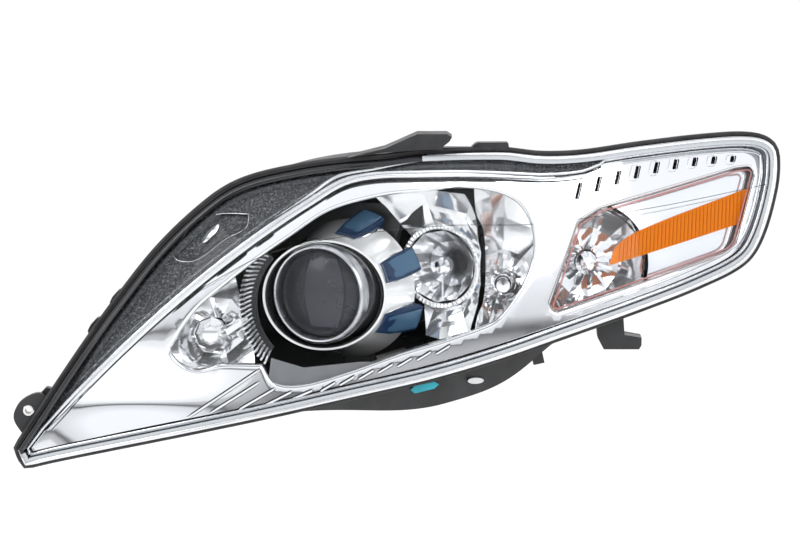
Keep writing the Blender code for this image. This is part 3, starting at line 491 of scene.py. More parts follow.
def half_round(width, height, base, steps=6):
    """A section for a bead: a half-round top on a flat bottom."""
    turns = np.linspace(0, math.pi, steps + 1)
    top = [(-width / 2 * math.cos(a), height * math.sin(a)) for a in turns]
    return top + [(width / 2, -base), (-width / 2, -base)]


def turned(name, profile, look, place=(0, 0, 0), axis=(0, 1, 0), segments=48, ring=False, phase=0.0,
           **options):
    """A body of revolution. The profile holds (radius, distance along axis). It starts and ends on the
    axis, or, for a ring, it closes on itself."""
    frame = np.array(Vector((0, 0, 1)).rotation_difference(Vector(axis)).to_matrix())
    points, faces, starts = [], [], []
    for radius, along in profile:
        starts.append(len(points))
        for i in range(segments if radius > 1e-6 else 1):
            a = 2 * math.pi * (i + phase) / segments
            points.append(frame @ np.array([radius * math.cos(a), radius * math.sin(a), along]) + place)
    order = list(range(len(profile))) + ([0] if ring else [])
    for a, b in zip(order, order[1:]):
        wide_a, wide_b = profile[a][0] > 1e-6, profile[b][0] > 1e-6
        for i in range(segments):
            j = (i + 1) % segments
            corners = [starts[a] + i * wide_a, starts[a] + j * wide_a,
                       starts[b] + j * wide_b, starts[b] + i * wide_b]
            faces.append(tuple(dict.fromkeys(corners)))
    return add_piece(name, points, faces, look, **options)


def soften(piece, width, segments=2):
    """Rounds a piece's sharp edges."""
    bm = bmesh.new()
    bm.from_mesh(piece.data)
    edges = [e for e in bm.edges if len(e.link_faces) == 2 and e.calc_face_angle(0) > math.radians(35)]
    bmesh.ops.bevel(bm, geom=edges, offset=width * MM, segments=segments, affect="EDGES", clamp_overlap=True)
    bm.to_mesh(piece.data)
    bm.free()
    piece.data.shade_smooth()
    piece.data.set_sharp_from_angle(angle=math.radians(40))
    return piece


def prism(name, outline, place, look, bevel=0.0, **options):
    """A solid between two copies of an outline. place(points, side) gives 3-D rows, for side 0 or 1."""
    outline = np.array(outline, float)
    piece = add_piece(name, *lofted([place(outline, 0), place(outline, 1)]), look, **options)
    return soften(piece, bevel) if bevel else piece


def plate_on_plane(front, back):
    return lambda p, side: plane_points(p[:, 0], p[:, 1], back if side else front)


def plate_across(front, back):
    return lambda p, side: across(p[:, 0], p[:, 1], np.full(len(p), -float(back if side else front)))


# ---------------------------------------------------------------- materials

class Nodes:
    """Short names for building the nodes of a new material or world."""

    def __init__(self, owner):
        self.owner = owner
        owner.use_nodes = True
        self.tree = owner.node_tree
        self.where = self.add("ShaderNodeTexCoord").outputs
        self.shader = self.tree.nodes.get("Principled BSDF")

    def add(self, kind, **inputs):
        node = self.tree.nodes.new(kind)
        self.set(node, **inputs)
        return node

    def set(self, node, **inputs):
        for key, value in inputs.items():
            self.feed(node.inputs[key.replace("_", " ")], value)

    def feed(self, socket, value):
        if isinstance(value, bpy.types.NodeSocket):
            self.tree.links.new(value, socket)
        else:
            socket.default_value = value

    def calculate(self, operation, first, second):
        node = self.add("ShaderNodeMath")
        node.operation = operation
        self.feed(node.inputs[0], first)
        self.feed(node.inputs[1], second)
        return node.outputs[0]

    def noise(self, scale, detail=2.0, roughness=0.5):
        return self.add("ShaderNodeTexNoise", Vector=self.where["Object"], Scale=scale, Detail=detail,
                        Roughness=roughness).outputs["Fac"]

    def ramp(self, value, stops):
        """stops holds (position, grey or colour)."""
        node = self.add("ShaderNodeValToRGB", Fac=value)
        elements = node.color_ramp.elements
        while len(elements) < len(stops):
            elements.new(0.5)
        for element, (position, colour) in zip(elements, stops):
            element.position = position
            element.color = (colour, colour, colour, 1) if isinstance(colour, float) else (*colour, 1)
        return node.outputs["Color"]

    def bump(self, height, distance, strength):
        return self.add("ShaderNodeBump", Height=height, Distance=distance, Strength=strength).outputs["Normal"]

    def mixed(self, share, first, second):
        """The material with its surface a mix of two shaders."""
        mix = self.add("ShaderNodeMixShader", Fac=share)
        self.feed(mix.inputs[1], first.outputs[0])
        self.feed(mix.inputs[2], second.outputs[0])
        self.feed(self.tree.nodes["Material Output"].inputs["Surface"], mix.outputs[0])
        return self.owner


def surfaced(name, colour, rough, metallic=0.0, relief=None, **more):
    """An opaque material. colour and rough are each plain, or a list: a noise's scale and detail, and the
    stops of the ramp over it. relief holds a noise's scale and detail, and its bump's depth and strength."""
    n = Nodes(bpy.data.materials.new(name))
    for socket, value in (("Base_Color", colour), ("Roughness", rough)):
        if isinstance(value, list):
            scale, detail, *stops = value
            n.set(n.shader, **{socket: n.ramp(n.noise(scale, detail), stops)})
        else:
            n.set(n.shader, **{socket: value if socket == "Roughness" else (*value, 1)})
    if relief:
        scale, detail, depth, strength = relief
        n.set(n.shader, Normal=n.bump(n.noise(scale, detail), depth, strength))
    n.set(n.shader, Metallic=metallic, **more)
    return n.owner


def grained(name, dark, light, speckle):
    """A leather-grained trim: pebbled bumps, and a colour that wanders between dark, lighter and pale speckled
    patches.
    """
    n = Nodes(bpy.data.materials.new(name))
    cells = n.add("ShaderNodeTexVoronoi", Vector=n.where["Object"], Scale=900.0)
    colour = n.ramp(n.noise(560, 4, 0.75), [(0.42, dark), (0.52, light), (0.66, speckle)])
    n.set(n.shader, Base_Color=colour, Roughness=n.ramp(n.noise(500, 2), [(0.3, 0.35), (0.7, 0.6)]),
          Normal=n.bump(cells.outputs["Distance"], 0.0004, 0.7))
    return n.owner


def moulded(name, colour, rough=0.38):
    """A plain moulded colour with slight shade variation."""
    dull = tuple(0.82 * c for c in colour)
    return surfaced(name, [60, 3, (0.3, dull), (0.7, colour)], rough, relief=(1100, 2, 0.0001, 0.3))


def clear(name, tint):
    """A clear moulding: what is behind it, tinted, with a mirror reflection that grows at grazing angles."""
    n = Nodes(bpy.data.materials.new(name))
    through = n.add("ShaderNodeBsdfTransparent", Color=(*tint, 1))
    mirror = n.add("ShaderNodeBsdfGlossy", Color=(1, 1, 1, 1), Roughness=0.02)
    grazing = n.add("ShaderNodeFresnel", IOR=1.2).outputs[0]
    n.tree.nodes.remove(n.shader)
    return n.mixed(n.calculate("MULTIPLY", grazing, GRAZING_LIMIT), through, mirror)


def tinted(name, body_colour, through_colour, solid, gloss=0.5):
    """A tinted translucent moulding: part dyed body, part see-through, with a gloss on top."""
    n = Nodes(bpy.data.materials.new(name))
    n.set(n.shader, Base_Color=(*body_colour, 1), Roughness=0.12, Specular_IOR_Level=gloss)
    through = n.add("ShaderNodeBsdfTransparent", Color=(*through_colour, 1))
    return n.mixed(solid, through, n.shader)


def opaque_looks():
    """Metals, plastics, rubber and grained trims."""
    return [
        # vacuum-metallised plastic: mirror bright, with a faint haze and moulding waves
        surfaced("chrome", (0.9, 0.905, 0.915), [18, 3, (0.35, 0.035), (0.7, 0.09)], 1.0,
                 (25, 1, 0.0004, 0.12)),
        # reflector chrome, with a soft white haze over its mirror
        surfaced("bright_chrome", (0.95, 0.955, 0.965), [22, 3, (0.35, 0.05), (0.7, 0.16)], 0.82,
                 (30, 1, 0.0004, 0.15)),
        # the barrel's buffed skin: a wide soft sheen over bright metal
        surfaced("polished", (0.94, 0.94, 0.935), [35, 3, (0.3, 0.1), (0.7, 0.24)], 0.3, (20, 1, 0.0005, 0.15),
                 Coat_Weight=0.6),
        # the frosted edge of the lens and its silver trim lines
        surfaced("silver_edge", [25, 2, (0.3, (0.7, 0.71, 0.73)), (0.7, (0.86, 0.87, 0.89))],
                 [120, 3, (0.3, 0.15), (0.7, 0.32)], 0.85),
        surfaced("satin_metal", [30, 3, (0.3, (0.6, 0.61, 0.62)), (0.75, (0.7, 0.71, 0.73))],
                 [90, 3, (0.3, 0.26), (0.7, 0.34)], 1.0),
        # moulded polypropylene with a fine spark-eroded texture
        surfaced("black_plastic", [45, 4, (0.3, (0.009, 0.0095, 0.0105)), (0.75, (0.026, 0.027, 0.029))],
                 [60, 3, (0.3, 0.3), (0.7, 0.5)], relief=(1400, 3, 0.0002, 0.35)),
        surfaced("gloss_black", (0.012, 0.0125, 0.014), [50, 3, (0.3, 0.12), (0.7, 0.26)]),
        surfaced("rubber", [80, 4, (0.3, (0.018, 0.018, 0.019)), (0.8, (0.045, 0.045, 0.047))], 0.75,
                 relief=(900, 2, 0.0002, 0.3)),
        grained("dark_grain", (0.006, 0.0065, 0.008), (0.028, 0.03, 0.034), (0.2, 0.205, 0.215)),
        grained("grey_grain", (0.07, 0.073, 0.08), (0.17, 0.175, 0.185), (0.4, 0.41, 0.42)),
        grained("edge_grain", (0.03, 0.032, 0.036), (0.06, 0.063, 0.07), (0.13, 0.135, 0.145)),
        moulded("satin_grey", (0.2, 0.205, 0.215), 0.3),
        moulded("white_plastic", (0.8, 0.8, 0.78)),
        moulded("teal_plastic", (0.02, 0.42, 0.52)),
    ]


def see_through_looks():
    return [
        clear("lens_clear", (0.985, 0.99, 0.995)),
        tinted("lens_edge", (0.62, 0.65, 0.68), (0.8, 0.85, 0.88), 0.75),
        tinted("smoke_edge", (0.02, 0.021, 0.024), (0.3, 0.3, 0.32), 0.8),
        tinted("glass_smoke", (0.07, 0.07, 0.078), (0.8, 0.81, 0.84), 0.42),
        tinted("blue_clear", (0.07, 0.15, 0.25), (0.4, 0.55, 0.72), 0.8),
        tinted("blue_edge", (0.012, 0.035, 0.09), (0.2, 0.3, 0.5), 0.9),
        tinted("pink_clear", (0.62, 0.3, 0.28), (0.9, 0.8, 0.8), 0.5),
        tinted("amber_clear", (0.9, 0.24, 0.0), (1.0, 0.5, 0.0), 0.8, 0.1),
        tinted("amber_edge", (0.62, 0.13, 0.0), (1.0, 0.4, 0.0), 0.85, 0.1),
    ]


# ---------------------------------------------------------------- outer shells

def at_depth(path, depth):
    """A path's 3-D rows under a depth rule."""
    return plane_points(path[:, 0], path[:, 1], depth(path[:, 0], path[:, 1]))


def edge_ring(path, offset, back):
    """A path moved out, that lies behind the lens's edge."""
    p = moved_out(path, offset)
    return plane_points(p[:, 0], p[:, 1], lens_depth(LENS_PATH[:, 0], LENS_PATH[:, 1]) - back)


def outer_lens():
    """The clear lens: its face, a rounded edge, and the skirt that sits in the glue channel. The edge is
    frosted outboard and dark over the crease."""
    flat, faces = patch(moved_out(LENS_PATH, -EDGE_FADE), spacing=6.0, extra=crease_lines(2.0, 4))
    count, size = len(flat), len(LENS_PATH)
    first, last = 2 * count, 2 * count + (len(EDGE_RINGS) - 1) * size
    solid = [tuple(f) for f in faces] + [tuple(count + i for i in f[::-1]) for f in faces]
    solid += ring_faces(len(EDGE_RINGS), size, False, first)
    solid += bridge(0, first, size) + bridge(last, count, size)
    points = [at_depth(flat, lens_depth), at_depth(flat, behind_lens(LENS_WALL))]
    points += [edge_ring(LENS_PATH, *ring) for ring in EDGE_RINGS]
    lens = add_piece("lens_fine", np.concatenate(points), solid, "lens_clear", stands_for=["outer_lens"])
    for look in ("lens_edge", "smoke_edge"):
        lens.data.materials.append(LOOKS[look])
    for polygon in lens.data.polygons[len(faces) * 2:]:
        x, y, t = (np.array(polygon.center) - SWIVEL) / MM
        s = x * math.cos(SWEEP) + y * math.sin(SWEEP)
        dark = s < RIM_START and t > crease_height(min(s, CREASE_SPAN[1]))
        polygon.material_index = 2 if dark else 1


def lens_rims():
    """The silver rim along the top and round the outboard end, the thin one that joins it to the trim line,
    the one round the chrome, and the black lip outside them."""
    bead("rim_bead_inner", moved_out(chrome_outline(-0.4), 1.6), half_round(2.6, 1.0, 1.2), behind_lens(8.4),
         "silver_edge")
    link = spline([(-60, crease_height(-60) + 5), (-30, crease_height(-30) + 5), (-8, 95.5), (22, 101.5),
                   (58, 107.5), (92, 109)], closed=False)
    bead("rim_link", link, half_round(2.6, 1.1, 0.4), behind_lens(5.5), "silver_edge", taper=(0.3, 0.12))
    bead("black_lip", moved_out(LENS_PATH, 3.4), half_round(3.4, 1.6, 3.0), behind_lens(6.5), "rubber")
    start = np.argmax((LENS_PATH[:, 0] > RIM_START) & (LENS_PATH[:, 1] > 60))
    rim = np.concatenate([LENS_PATH[start:], LENS_PATH[:1]])
    bead("rim_bead_outer", side_moved(rim, -0.4), half_round(3.0, 1.2, 0.2), behind_lens(1.0), "silver_edge",
         taper=(0.08, 0.02))


def lens_seam():
    """The fine parting line that crosses the lens."""
    seam = spline([(-118, 8.9), (-65, 35.9), (1, 49.9), (83, 56.4), (149, 55.6), (247, 64.6), (345, 78.6)],
                  closed=False, step=8)
    bead("lens_seam", seam, half_round(0.45, 0.15, 0.3), behind_lens(-0.05), "gloss_black", False)


def crease_lines(reach, count):
    """Paths along the crease, spread over reach millimetres to each side of it."""
    s = np.linspace(*CREASE_SPAN, 69)
    return [np.stack([s, crease_height(s) + lift], axis=1) for lift in np.linspace(-reach, reach, count)]


def housing_rings():
    """Rings over the shell's outside, from the channel's lip to the middle of the back."""
    edge = lens_depth(LENS_PATH[:, 0], LENS_PATH[:, 1])
    from_lowest = LENS_PATH[:, 0] - HOUSING_LOWEST
    rise = np.where(from_lowest > 0, (from_lowest / 80) ** 4, (from_lowest / 95) ** 2)
    belly = np.where(LENS_PATH[:, 1] < LENS_CENTRE[1], 27 * np.exp(-rise), 0)
    waist = LENS_PATH - np.outer(belly, (0, 1))
    rings = [edge_ring(LENS_PATH, 4.1, 24), edge_ring(waist, 2, 28)]
    for share in np.concatenate([np.linspace(0.985, 0.82, 7), np.linspace(0.79, 0.06, 20)]):
        blend = np.interp(share, [0.82, 0.93, 0.985, 1], [1, 0.9, 0.6, 0])
        p = LENS_CENTRE + (waist - LENS_CENTRE) * share
        depth = (1 - blend) * (edge - 28) + blend * housing_depth(p[:, 0], p[:, 1])
        rings.append(plane_points(p[:, 0], p[:, 1], depth))
    return rings


def point_normals(points, faces):
    """A surface's unit normals at its points."""
    skin = bpy.data.meshes.new("skin")
    skin.from_pydata(points.tolist(), [], faces)
    normals = np.array([v.vector for v in skin.vertex_normals])
    bpy.data.meshes.remove(skin)
    return normals


def housing():
    """The black shell: its outside, the same skin moved in by the wall, and the glue channel that joins them."""
    size = len(LENS_PATH)
    rings = housing_rings()
    outside = np.concatenate([*rings, [plane_points(*LENS_CENTRE, housing_depth(*LENS_CENTRE))]])
    faces = ring_faces(len(rings), size, False) + fan((len(rings) - 1) * size, len(outside) - 1, size)
    normals = point_normals(outside, faces)
    inward = HOUSING_WALL if normals[-1] @ np.array(OUT) > 0 else -HOUSING_WALL
    inner = (outside + normals * inward)[size:]
    start = len(outside)
    faces += ring_faces(len(rings) - 1, size, False, start)
    faces += fan(start + (len(rings) - 2) * size, start + len(inner) - 1, size)
    channel = start + len(inner)
    faces += ring_faces(len(CHANNEL_RINGS), size, False, channel) + bridge(0, channel, size)
    faces += bridge(channel + (len(CHANNEL_RINGS) - 1) * size, start, size)
    points = [outside, inner, *[edge_ring(LENS_PATH, *ring) for ring in CHANNEL_RINGS]]
    body = add_piece("housing_fine", np.concatenate(points), faces, "black_plastic", stands_for=["housing_shell"])
    for x, z, radius, end in ((0, 0, 42, 132), (78, 18, 26, 130)):
        bore(body, radius, 70, 150, (x, 0, z))
        collar("collar_%d" % x, radius, end - 28, end, 0.6, (x, 0, z))
    for name, radius, start, end, spot in (("signal", 16, 44, 62, SIGNAL_BULB),
                                           ("position", 10, -6, 20, POSITION_BULB)):
        place = plane_points(*spot, 0)
        bore(body, radius, start - 20, end + 5, place, -OUT)
        collar(name + "_collar", radius, start, end, 0.5, place, -OUT)
    bore(body, 12.8, 90, 140, (5, 0, -66))


def housing_details():
    """The pad on top, the pale oval underneath, the clips along the sloping edge and the inner tab."""
    prism("top_pad", [(97, 113.5), (104, 120), (130, 120), (131, 113)], plate_on_plane(24, 10), "black_plastic",
          bevel=0.8)
    shell("belly_oval", patch(ellipse((103.5, -71.5), (6.5, 2.5)), [], 3.0), behind_lens(21), 4.0, "satin_metal")
    corners = [(-9, -3), (-8, 3.2), (-3, 4.4), (6, 4.0), (9, -3)]
    for i, spot in enumerate(((-204, -27), (-186, -4), (-246, -84))):
        prism("edge_clip_%d" % i, placed(corners, spot, math.radians(50)), plate_on_plane(50, 38),
              "black_plastic", bevel=0.6)
    outline = spline([(-263, -115), (-271, -101), (-268, -90), (-260, -83), (-250, -80), (-243, -84.5)], (0, 5),
                     step=2)
    tab = prism("inner_tab", outline, plate_on_plane(60, 53), "black_plastic")
    bore(tab, 4.6, 45, 65, plane_points(-259, -94, 0), OUT)


def collar(name, radius, start, end, chamfer, place, axis=(0, 1, 0)):
    """A round wall that stands on the housing's back."""
    outer = radius + 3
    profile = [(radius, start), (outer, start), (outer, end - chamfer), (outer - chamfer, end), (radius, end)]
    turned(name, profile, "black_plastic", place, axis, ring=True)


def bore(target, radius, start, end, place, axis=(0, 1, 0)):
    """Cuts a round hole through target."""
    profile = [(0, start), (radius, start), (radius, end), (0, end)]
    cut(target, turned("bore", profile, "black_plastic", place, axis))


def cut(target, tool, operation="DIFFERENCE", sharp=32.0):
    """Applies a Boolean of tool to target, and removes tool."""
    modifier = target.modifiers.new("cut", "BOOLEAN")
    modifier.operation = operation
    modifier.object = tool
    bpy.context.view_layer.update()
    result = bpy.data.meshes.new_from_object(target.evaluated_get(bpy.context.evaluated_depsgraph_get()))
    target.modifiers.clear()
    materials = list(target.data.materials)
    target.data = result
    target.data.materials.clear()
    for material in materials:
        target.data.materials.append(material)
    bpy.data.objects.remove(tool)
    target.data.shade_smooth()
    target.data.set_sharp_from_angle(angle=math.radians(sharp))
    return target


# ---------------------------------------------------------------- inner trim

def trim_line():
    """Where the dark trim meets the chrome: up the crease from the tip, then along over the eye."""
    along = np.linspace(-246, TRIM_TOP, 10)
    crease = list(zip(along, crease_height(along)))
    return spline([*crease, *TRIM_TAIL], closed=False, step=3.0)


def chrome_outline(back=-1.5):
    """The lens outline drawn in, without the part above the trim line."""
    inner = moved_out(LENS_PATH, -7.0)
    start = np.argmax((inner[:, 0] > 210) & (inner[:, 1] > 60))
    return np.concatenate([inner[start:], side_moved(TRIM, -back)])


def slot_outlines():
    """The row of slots in the bezel: leaning quadrilaterals that get shorter outboard."""
    slots = []
    for along in np.linspace(0, 1, SLOT_COUNT):
        s = 188 + along * 130
        t = 79 + along * 20 + 6 * math.sin(math.pi * along)
        tall = 6.5 - 4.0 * along
        wide = 1.9 + 0.5 * along
        lean = 0.25 * tall
        corners = [(s - wide - lean, t - tall), (s + wide - lean, t - tall),
                   (s + wide + lean, t + tall), (s - wide + lean, t + tall)]
        slots.append(rounded(corners, (0.8,) * 4, 3))
    return slots


def slot_recesses():
    """The shallow parallelogram pocket on each slot's inboard side."""
    return [moved_out(slot, 1.2) + np.array([-2.6, -0.6]) for slot in slot_outlines()]


def groove_lines():
    """Straight grooves that slant from the eye's lower edge down to the trim's border."""
    ends = list(LONG_GROOVES)
    for s in np.arange(-10, 90, 15.5):
        sill = 0.30 * s - 65
        ends.append(((s, sill), (s - 13, sill - 7.5)))
    return [np.linspace(start, end, 14) for start, end in ends]


def chrome_bezel():
    """The big chrome trim: rolled edges round its openings, a raised line outboard, pockets beside its slots,
    and fine steps that slant away below the eye, with gloss-black strips of painted shade along them."""
    holes = [EYE_PATH, SIGNAL_PATH] + slot_outlines()
    extra = [moved_out(h, k) for h in holes[:2] for k in (0.5, 1.2, 2.2, 3.4)]
    region = patch(chrome_outline(), holes, 5.0, extra)
    shell("chrome_bezel_fine", region, chrome_bezel_depth, 1.6, "chrome", stands_for=["chrome_bezel"],
          sharp=50)
    border = moved_out(LENS_PATH, -11.5)
    border = border[(border[:, 0] > 175)]
    bead("bezel_border", border, half_round(1.8, 0.8, 0.4), bezel_base, "chrome", taper=(0.08, 0.25))
    pockets = [bead_mesh(recess, half_round(0.7, 0.35, 0.3), bezel_base) for recess in slot_recesses()]
    merged("slot_pockets", pockets, "silver_edge")
    lines = groove_lines()
    # Gloss-black strips along the grooves: painted shade, standing for the dark the grooves show in the chrome
    dark = [bead_mesh(line, half_round(1.3, 0.35, 0.3), bezel_base, taper=(0.1, 0.1))
            for line in lines]
    merged("groove_lines", dark, "gloss_black")
    steps = [bead_mesh(side_moved(line, -1.5), [(-1.1, 0.1), (-0.5, 0.5), (1.1, 0.1), (1.1, -0.4), (-1.1, -0.4)],
                       bezel_base, taper=(0.1, 0.1)) for line in lines]
    merged("groove_steps", steps, "chrome", sharp=20)


def chrome_bezel_depth(s, t):
    points = np.stack([s, t], axis=1)
    depth = bezel_base(s, t)
    for hole, reach, drop in ((EYE_PATH, 3.4, 3.0), (SIGNAL_PATH, 3.4, 2.4)):
        share = np.clip(1 - distance_to(points, hole) / reach, 0, 1)
        depth = depth - drop * (1 - np.sqrt(1 - share ** 2))
    return depth


def dark_bezel():
    """The grained trim over the crease, with its marker pocket, the beads that part it from the chrome, and
    gloss-black strips on the chrome below them that are painted dark reflections.
    """
    inner = moved_out(LENS_PATH, -5.0)
    start = np.argmax(inner[:, 0] > -240)
    stop = np.argmax((inner[:, 0] > 206) & (inner[:, 1] > 60))
    outline = np.concatenate([inner[start:stop], side_moved(TRIM, 1.0)[::-1]])
    pocket = spline([(-142, 33), (-124, 57), (-104, 64), (-80, 65), (-82, 55), (-98, 46), (-122, 29), (-138, 28)],
                    (0, 3), step=3)
    extra = [moved_out(pocket, k) for k in (-1.6, 0, 1.2)]

    def depth(s, t):
        points = np.stack([s, t], axis=1)
        sunk = inside(points, pocket) * np.clip(distance_to(points, pocket) / 1.6, 0, 1)
        edge = np.clip(1 - distance_to(points, pocket) / 1.2, 0, 1)
        return lens_depth(s, t) - DARK_BEZEL_BACK - 3.2 * sunk + 0.4 * edge

    shell("dark_bezel_fine", patch(outline, [], 5.0, extra), depth, 1.6, "dark_grain",
          stands_for=["dark_bezel"])
    bead("pocket_line", pocket, half_round(0.8, 0.6, 0.6), behind_lens(DARK_BEZEL_BACK - 0.9), "silver_edge")
    outer = inner[start:stop]
    bead("dark_bezel_border", side_moved(outer, 5.0), half_round(6.5, 0.9, 0.2), behind_lens(DARK_BEZEL_BACK),
         "edge_grain", taper=(0.12, 0.35))
    marker()
    strips = [
        ("trim_band", -4.4, 3.6, 0.7, "grey_grain"),
        ("trim_light_line", -2.2, 0.9, 0.9, "silver_edge"),
        ("trim_black_line", -1.2, 1.3, 0.5, "gloss_black"),
        ("trim_white_bead", 1.9, 4.6, 1.9, "chrome"),
        # a painted dark reflection: a gloss-black line just below the chrome bead
        ("trim_painted_reflection_line", 4.7, 0.8, 0.5, "gloss_black"),
    ]
    for name, offset, width, height, look in strips:
        bead(name, side_moved(TRIM, offset), half_round(width, height, 1.5),
             behind_lens(DARK_BEZEL_BACK + 1.2), look, taper=(0.10, 0.22))
    # Gloss-black dashes further down the chrome: painted dark reflections
    painted_reflection_dashes = side_moved(TRIM, 6.3)
    for i, (first, last) in enumerate(((0.27, 0.34), (0.36, 0.42), (0.43, 0.47), (0.56, 0.84))):
        piece = painted_reflection_dashes[int(first * len(painted_reflection_dashes)):int(last * len(painted_reflection_dashes))]
        bead("trim_painted_reflection_dash_%d" % i, piece, half_round(1.5, 0.5, 1.5), behind_lens(DARK_BEZEL_BACK + 2.4),
             "gloss_black", taper=(0.2, 0.2))


def marker():
    """The small oval reflector in the pocket: a dome of prism facets."""
    number = np.arange(MARKER_SIDES)
    turn = 2 * math.pi * number / MARKER_SIDES
    rings = []
    for share, lift in ((1, 0.3), (1, 1.4), (0.72, 2.3), (0.38, 2.9)):
        s = -111 + share * (5.5 * np.cos(turn) + 4 * np.sin(turn))
        t = 49 + share * (6.5 * np.sin(turn) + 3 * np.cos(turn))
        rings.append(plane_points(s, t, lens_depth(s, t) - DARK_BEZEL_BACK + lift - 2.0 + 0.35 * (number % 2)))
    add_piece("marker_fine", *lofted(rings), "bright_chrome", sharp=5, stands_for=["marker_reflector"])


def eye_liner():
    """The chrome wall that runs back from the edge of the eye opening."""
    outline, outer = moved_out(EYE_PATH, 0.3), moved_out(EYE_PATH, 1.5)
    s, t = outline.T
    middle_part = np.clip(np.minimum((s + 45) / 25, (102 - s) / 15), 0, 1)
    front = bezel_base(s, t) - 4.2
    back = front - (5 + 22 * middle_part * np.where(t > 0, 1, 0.25))
    corners = ((outline, front), (outer, front), (outer, back), (outline, back))
    rings = [plane_points(path[:, 0], path[:, 1], depth) for path, depth in corners]
    add_piece("eye_liner", np.concatenate(rings), ring_faces(4, len(outline)), "bright_chrome", sharp=40)


# ---------------------------------------------------------------- projector

def projector():
    glass = [(0, -67), (6, -66.8), (12, -66), (17, -65), (22, -63.4), (26, -61.6), (30, -59.3), (33, -57),
             (35.2, -54.4), (35.5, -51), (0, -51)]
    turned("projector_glass_fine", glass, "glass_smoke", body="projector", stands_for=["projector_glass"])
    ring = [(36.1, -50), (36.1, -56), (36.6, -59), (37.6, -60.6), (38.8, -61), (40, -60), (40.8, -58), (41, -50)]
    turned("retainer_ring_fine", ring, "satin_metal", body="projector", ring=True, stands_for=["retainer_ring"])
    holder = [(36, -49.4), (40.6, -49.4), (41.2, -10), (38, -10), (38, -46), (36, -46)]
    turned("lens_holder_fine", holder, "gloss_black", body="projector", ring=True, stands_for=["lens_holder"])
    panel = spline([(-11, -28), (-16, -10), (-16, 10), (-11, 28), (12, 28), (17, 8), (16, -12), (12, -28)],
                   (0, 3, 4, 7))
    prism("glass_back_panel", panel, plate_across(-48.6, -48.0), "satin_metal", body="projector")
    edges = [bead_mesh(spline(points, closed=False, step=4), half_round(1.6, 0.8, 0.2), flat_depth, False)
             for points in ([(-13, -29), (-18, -10), (-17, 12), (-12, 29)],
                            [(14, -29), (19, -8), (18, 12), (13, 29)])]
    chamber = merged("glass_back_edges", edges, "gloss_black", body="projector")
    turn_to_front(chamber, 49.4)
    outside = [(45, -76), (45, -60), (45, -48), (45.4, -40), (46.2, -32), (47.8, -24), (50, -16), (52.2, -9),
               (54.5, -3), (56, 1.5), (57, 5)]
    inside_wall = [(r - 1.6, y) for r, y in outside[::-1]]
    barrel = turned("barrel_fine", outside + inside_wall, "polished", (0, 0, -BARREL_DROP), segments=96,
                    ring=True, body="projector", stands_for=["barrel_shroud"])
    sleeve = turned("barrel_sleeve", [(43.3, -76), (43.3, -16), (42.5, -16), (42.5, -76)], "gloss_black",
                    (0, 0, -BARREL_DROP), segments=96, ring=True, body="projector")
    square = [(-150, -100), (50, -100), (50, 100), (-150, 100)]
    for piece, recess in ((barrel, 0), (sleeve, 0.8)):
        front = MOUTH_DEPTH - recess
        cut(piece, prism("mouth", square, plate_on_plane(front + 60, front), "chrome", body="projector"))
    for name, (front, back) in INSERTS.items():
        blue_insert(name, front, back)


def flat_depth(s, t):
    return np.zeros(len(np.atleast_1d(s)))


def turn_to_front(piece, ahead):
    """Turns a piece drawn at d = 0 so that it faces straight forward, and moves it ahead of the swivel."""
    for v in piece.data.vertices:
        local = (np.array(v.co) - SWIVEL) / MM
        s, d = local @ np.array([math.cos(SWEEP), math.sin(SWEEP), 0]), local @ np.array(OUT)
        v.co = Vector(np.array([s, -ahead - d, local[2]]) * MM) + SWIVEL


def barrel_radius(y):
    return float(np.interp(y, [p[1] for p in BARREL_PROFILE], [p[0] for p in BARREL_PROFILE]))


def blue_insert(name, front_angle, back_angle):
    """A translucent wedge on the barrel's flare: a dark-edged body, a pale window in its top and a bright
    collar where it meets the metal."""
    start, end = INSERT_SPAN
    front_radius = barrel_radius(start) + 2.5

    def loop(inset, lift):
        """A closed path over the top of the wedge, drawn in by inset millimetres."""
        rows = []
        for along, side in ((0, -1), (0, 0), (0, 1), (0.35, 1), (0.7, 1), (1, 1), (1, 0), (1, -1), (0.7, -1),
                            (0.35, -1)):
            y = start + along * (end - start)
            half = INSERT_HALF_ANGLE * np.interp(along, [0, 0.35, 0.75, 1], [0.9, 1, 0.95, 0.85])
            middle = front_angle + along * (back_angle - front_angle)
            top = front_radius + along * (INSERT_BACK_RADIUS - front_radius)
            base = barrel_radius(y) + 0.5
            r = base + (top - base) * lift
            turn = math.radians(middle + side * (half - inset / r * 57))
            y += inset * (1 if along == 0 else -1 if along == 1 else 0)
            rows.append([r * math.cos(turn), y, r * math.sin(turn) - BARREL_DROP])
        return np.array(rows)

    def stack(piece_name, layers, look, **options):
        add_piece(piece_name, *lofted([loop(*layer) for layer in layers]), look, body="projector", sharp=30,
                  **options)

    stack("blue_%s_body" % name, [(-0.2, 0.05), (-0.2, 0.5), (0.5, 0.93), (1.3, 1.0), (2.4, 0.94)], "blue_edge",
          stands_for=["blue_insert_" + name])
    stack("blue_%s_window" % name, [(2.7, 0.9), (2.7, 0.985), (3.6, 1.03)], "blue_clear")
    stack("blue_%s_collar" % name, [(-1.1, 0.0), (-1.1, 0.06), (-0.5, 0.14), (0.4, 0.14), (0.4, 0.0)], "chrome")


# ---------------------------------------------------------------- faceted bowls

